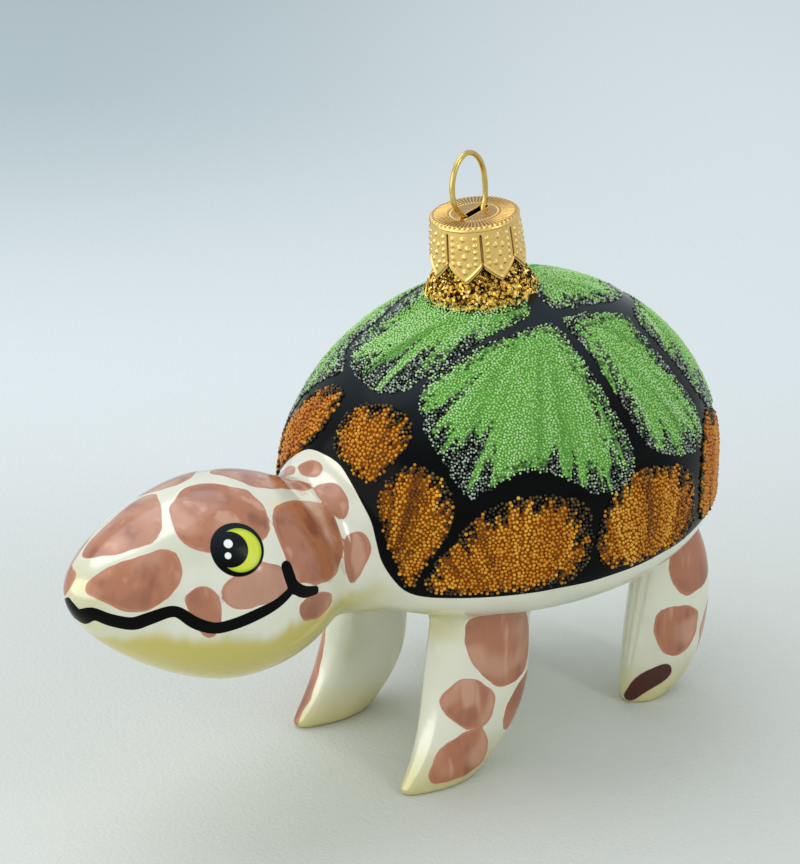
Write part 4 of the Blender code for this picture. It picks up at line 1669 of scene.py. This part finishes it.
@dataclass
class WireHanger:
    """The hanger: an oval eye of springy wire whose legs part inside the pipe."""

    axis: CapAxis
    wire: float = 0.425
    loop_height: float = 10.0
    half_width: float = 4.03
    half_gap: float = 2.35
    lean: float = 0.8
    leg_end: Corner = (4.3, -13.0)
    leg_bend: float = 2.5
    turn: float = math.atan2(0.976, -0.218)

    def route(self) -> list[np.ndarray]:
        """Bends the wire's middle line.

        Returns:
            Points of the line, as (along the slot, above the cap's top) pairs.
        """
        top = self.loop_height - self.wire
        drop = math.sqrt(1.0 - (self.half_gap / self.half_width) ** 2)
        half = top / (1.0 + drop)
        start = -math.asin(drop)
        loop = []
        for i in range(61):
            angle = start + (math.pi - 2.0 * start) * i / 60
            height = top - half + half * math.sin(angle)
            lean = self.lean * math.sin(math.pi / 2.0 * min(1.0, height / (top - half)))
            loop.append(np.array([self.half_width * math.cos(angle) - lean, height]))
        return self.spring(loop[0], loop[1], 1.0)[::-1] + loop + self.spring(loop[-1], loop[-2], -1.0)

    def spring(self, start: np.ndarray, before: np.ndarray, side: float) -> list[np.ndarray]:
        """Bends one leg, from the slot to its end inside the pipe.

        Args:
            start: Where the loop ends.
            before: The loop's last point before that.
            side: 1 or -1, the side that the leg springs to.

        Returns:
            Points of the leg's middle line.
        """
        end = np.array([side * self.leg_end[0], self.leg_end[1]])
        first = start + (start - before) / np.linalg.norm(start - before) * self.leg_bend
        second = end + np.array([-side * self.leg_bend / 4.0, self.leg_bend * 2.4])
        steps = np.arange(1, 17)[:, None] / 16
        rest = 1.0 - steps
        return list(start * rest**3 + first * 3 * steps * rest**2 + second * 3 * steps**2 * rest + end * steps**3)

    def build(self) -> bpy.types.Object:
        """Sweeps a round wire along the route.

        Returns:
            The hanger.
        """
        right, back, up = self.axis.directions()
        along = right * math.cos(self.turn) + back * math.sin(self.turn)
        across = np.cross(up, along)
        line = np.array([np.array(self.axis.top) + along * side + up * height for side, height in self.route()])
        run = np.gradient(line, axis=0)
        run /= np.linalg.norm(run, axis=1)[:, None]
        turns = np.arange(20) * math.tau / 20
        rings = []
        for place, forward in zip(line, run):
            out = np.cross(forward, across)
            rings.append(place + self.wire * (np.outer(np.cos(turns), across) + np.outer(np.sin(turns), out)))
        item = make_mesh("wire_hanger", np.concatenate(rings), loft_faces(len(rings), 20))
        item.data.materials.append(DrawnWire().build())
        piece(item, "hanger_wire", "hanger")
        return item


@dataclass(frozen=True)
class PaleCloth:
    """Smooth pale cloth that the turtle stands on, painted paler in a band towards the window as a painted pool of
    light, and painted darker and bluer in the distance as painted shade.

    To the eye it is a soft, matt ground without an edge, with a weave that is only felt.
    """

    cloth: str = "#d8dad5"
    cloth_shade: str = "#cbcfc8"
    cloth_light: str = "#dae0e2"
    cloth_far: str = "#b2bfc1"

    def build(self) -> bpy.types.Material:
        """Makes the material. The weave is 0.7 mm wide and the broad random patches 17 cm.

        Returns:
            The cloth's material.
        """
        rows: tuple[Row, ...] = (
            ("weave", Step.GRAIN, "place", cells(0.66667), 2.0),
            ("folds", Step.GRAIN, "place", cells(166.67), 1.0),
            ("away", Step.ALONG, "place", (-0.779, 0.627, 0.0)),
            ("across", Step.ALONG, "place", (0.627, 0.779, 0.0)),
            # Broad random patches of a darker tone
            ("colour", Step.COAT, "folds", "cloth_shade", "cloth"),
            # A paler band behind the turtle: a painted pool of light
            ("near_light", Step.SHARE, "away", 0.02, 0.16, 0.0, 0.8),
            ("colour", Step.COAT, "near_light", "colour", "cloth_light"),
            # Further away the colour darkens on one side, as painted shade, and stays light on the other
            ("side", Step.SHARE, "across", -0.12, 0.12),
            ("far", Step.COAT, "side", "cloth_far", "cloth_light"),
            ("into_far", Step.SHARE, "away", 0.15, 0.42),
            ("Base Color", Step.COAT, "into_far", "colour", "far"),
            ("Normal", Step.BUMP, "weave", 0.4, 0.3 * MM),
        )
        return make_material("pale_cloth", asdict(self), (), rows, {"Roughness": 0.8})


@dataclass(frozen=True)
class Panel:
    """One soft light: where it hangs, what it faces, its width and height, its watts and its colour."""

    name: str
    place: Point
    target: Point
    size: Corner
    power: float
    colour: str


@dataclass
class Studio:
    """Pale cloth floor, soft light and a camera where the photographer stood."""

    eye: Point = (271.0, -217.7, 197.6)
    right: Point = (0.6289, 0.7774, -0.0055)
    upward: Point = (-0.2947, 0.2450, 0.9237)
    lens: float = 103.17
    sensor: float = 36.0
    floor_reach: float = 4000.0
    room_colour: str = "#e6edf2"
    room_strength: float = 0.86
    panels: tuple[Panel, ...] = (
        Panel("ceiling", (-260.0, -60.0, 640.0), (0.0, 0.0, 40.0), (760.0, 620.0), 1.7, "#f6f9ff"),
        Panel("front", (-150.0, -700.0, 190.0), (0.0, 0.0, 20.0), (1150.0, 620.0), 2.6, "#fbfaf4"),
        Panel("window", (560.0, 150.0, 430.0), (0.0, 0.0, 40.0), (50.0, 360.0), 0.6, "#fffaf0"),
    )

    def camera(self) -> None:
        """Sets the camera at the photograph's angle."""
        right = np.array(self.right) / np.linalg.norm(self.right)
        back = np.cross(right, self.upward)
        back /= np.linalg.norm(back)
        up = np.cross(back, right)
        data = bpy.data.cameras.new("photographer")
        data.lens = self.lens
        data.sensor_width = self.sensor
        data.clip_start = 0.01
        camera = bpy.data.objects.new("photographer", data)
        columns = np.stack([right, up, back], axis=1)
        camera.matrix_world = Matrix.Translation([v * MM for v in self.eye]) @ Matrix(columns.tolist()).to_4x4()
        bpy.context.scene.collection.objects.link(camera)
        bpy.context.scene.camera = camera

    def sweep(self) -> None:
        """Lays the pale floor."""
        far = self.floor_reach
        points = np.array([[-far, -far, 0.0], [far, -far, 0.0], [far, far, 0.0], [-far, far, 0.0]])
        floor = make_mesh("pale_cloth", points, [(0, 1, 2, 3)])
        floor.data.materials.append(PaleCloth().build())

    def light(self, panel: Panel) -> None:
        """Hangs one soft panel.

        Args:
            panel: The light.
        """
        data = bpy.data.lights.new(panel.name, "AREA")
        data.shape = "ELLIPSE"
        data.size, data.size_y = panel.size[0] * MM, panel.size[1] * MM
        data.energy = panel.power
        data.color = linear(panel.colour)[:3]
        item = bpy.data.objects.new(panel.name, data)
        back = np.array(panel.place) - np.array(panel.target)
        back /= np.linalg.norm(back)
        right = np.cross([0.0, 0.0, 1.0], back)
        right /= np.linalg.norm(right)
        columns = np.stack([right, np.cross(back, right), back], axis=1)
        item.matrix_world = Matrix.Translation([v * MM for v in panel.place]) @ Matrix(columns.tolist()).to_4x4()
        bpy.context.scene.collection.objects.link(item)

    def lights(self) -> None:
        """Lights the set as a bright room does."""
        world = bpy.data.worlds.new("room")
        bpy.context.scene.world = world
        world.use_nodes = True
        background = world.node_tree.nodes["Background"]
        background.inputs["Color"].default_value = linear(self.room_colour)
        background.inputs["Strength"].default_value = self.room_strength
        bpy.context.scene.view_settings.view_transform = "Standard"
        for panel in self.panels:
            self.light(panel)

    def build(self) -> None:
        """Sets camera, floor and lights."""
        self.camera()
        self.sweep()
        self.lights()


def main() -> None:
    """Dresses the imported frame."""
    logging.basicConfig(level=logging.INFO, format="%(name)s %(message)s")
    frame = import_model()
    LOG.info("frame with %d nodes", len(frame["nodes"]))
    Studio().build()
    body = GlassBody()
    skin = body.build()
    BeadCrusts(body).build(skin)
    GlitterCollar(body.axis).build()
    StampedCap(body.axis).build()
    WireHanger(body.axis).build()
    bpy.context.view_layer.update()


if __name__ == "__main__":
    main()
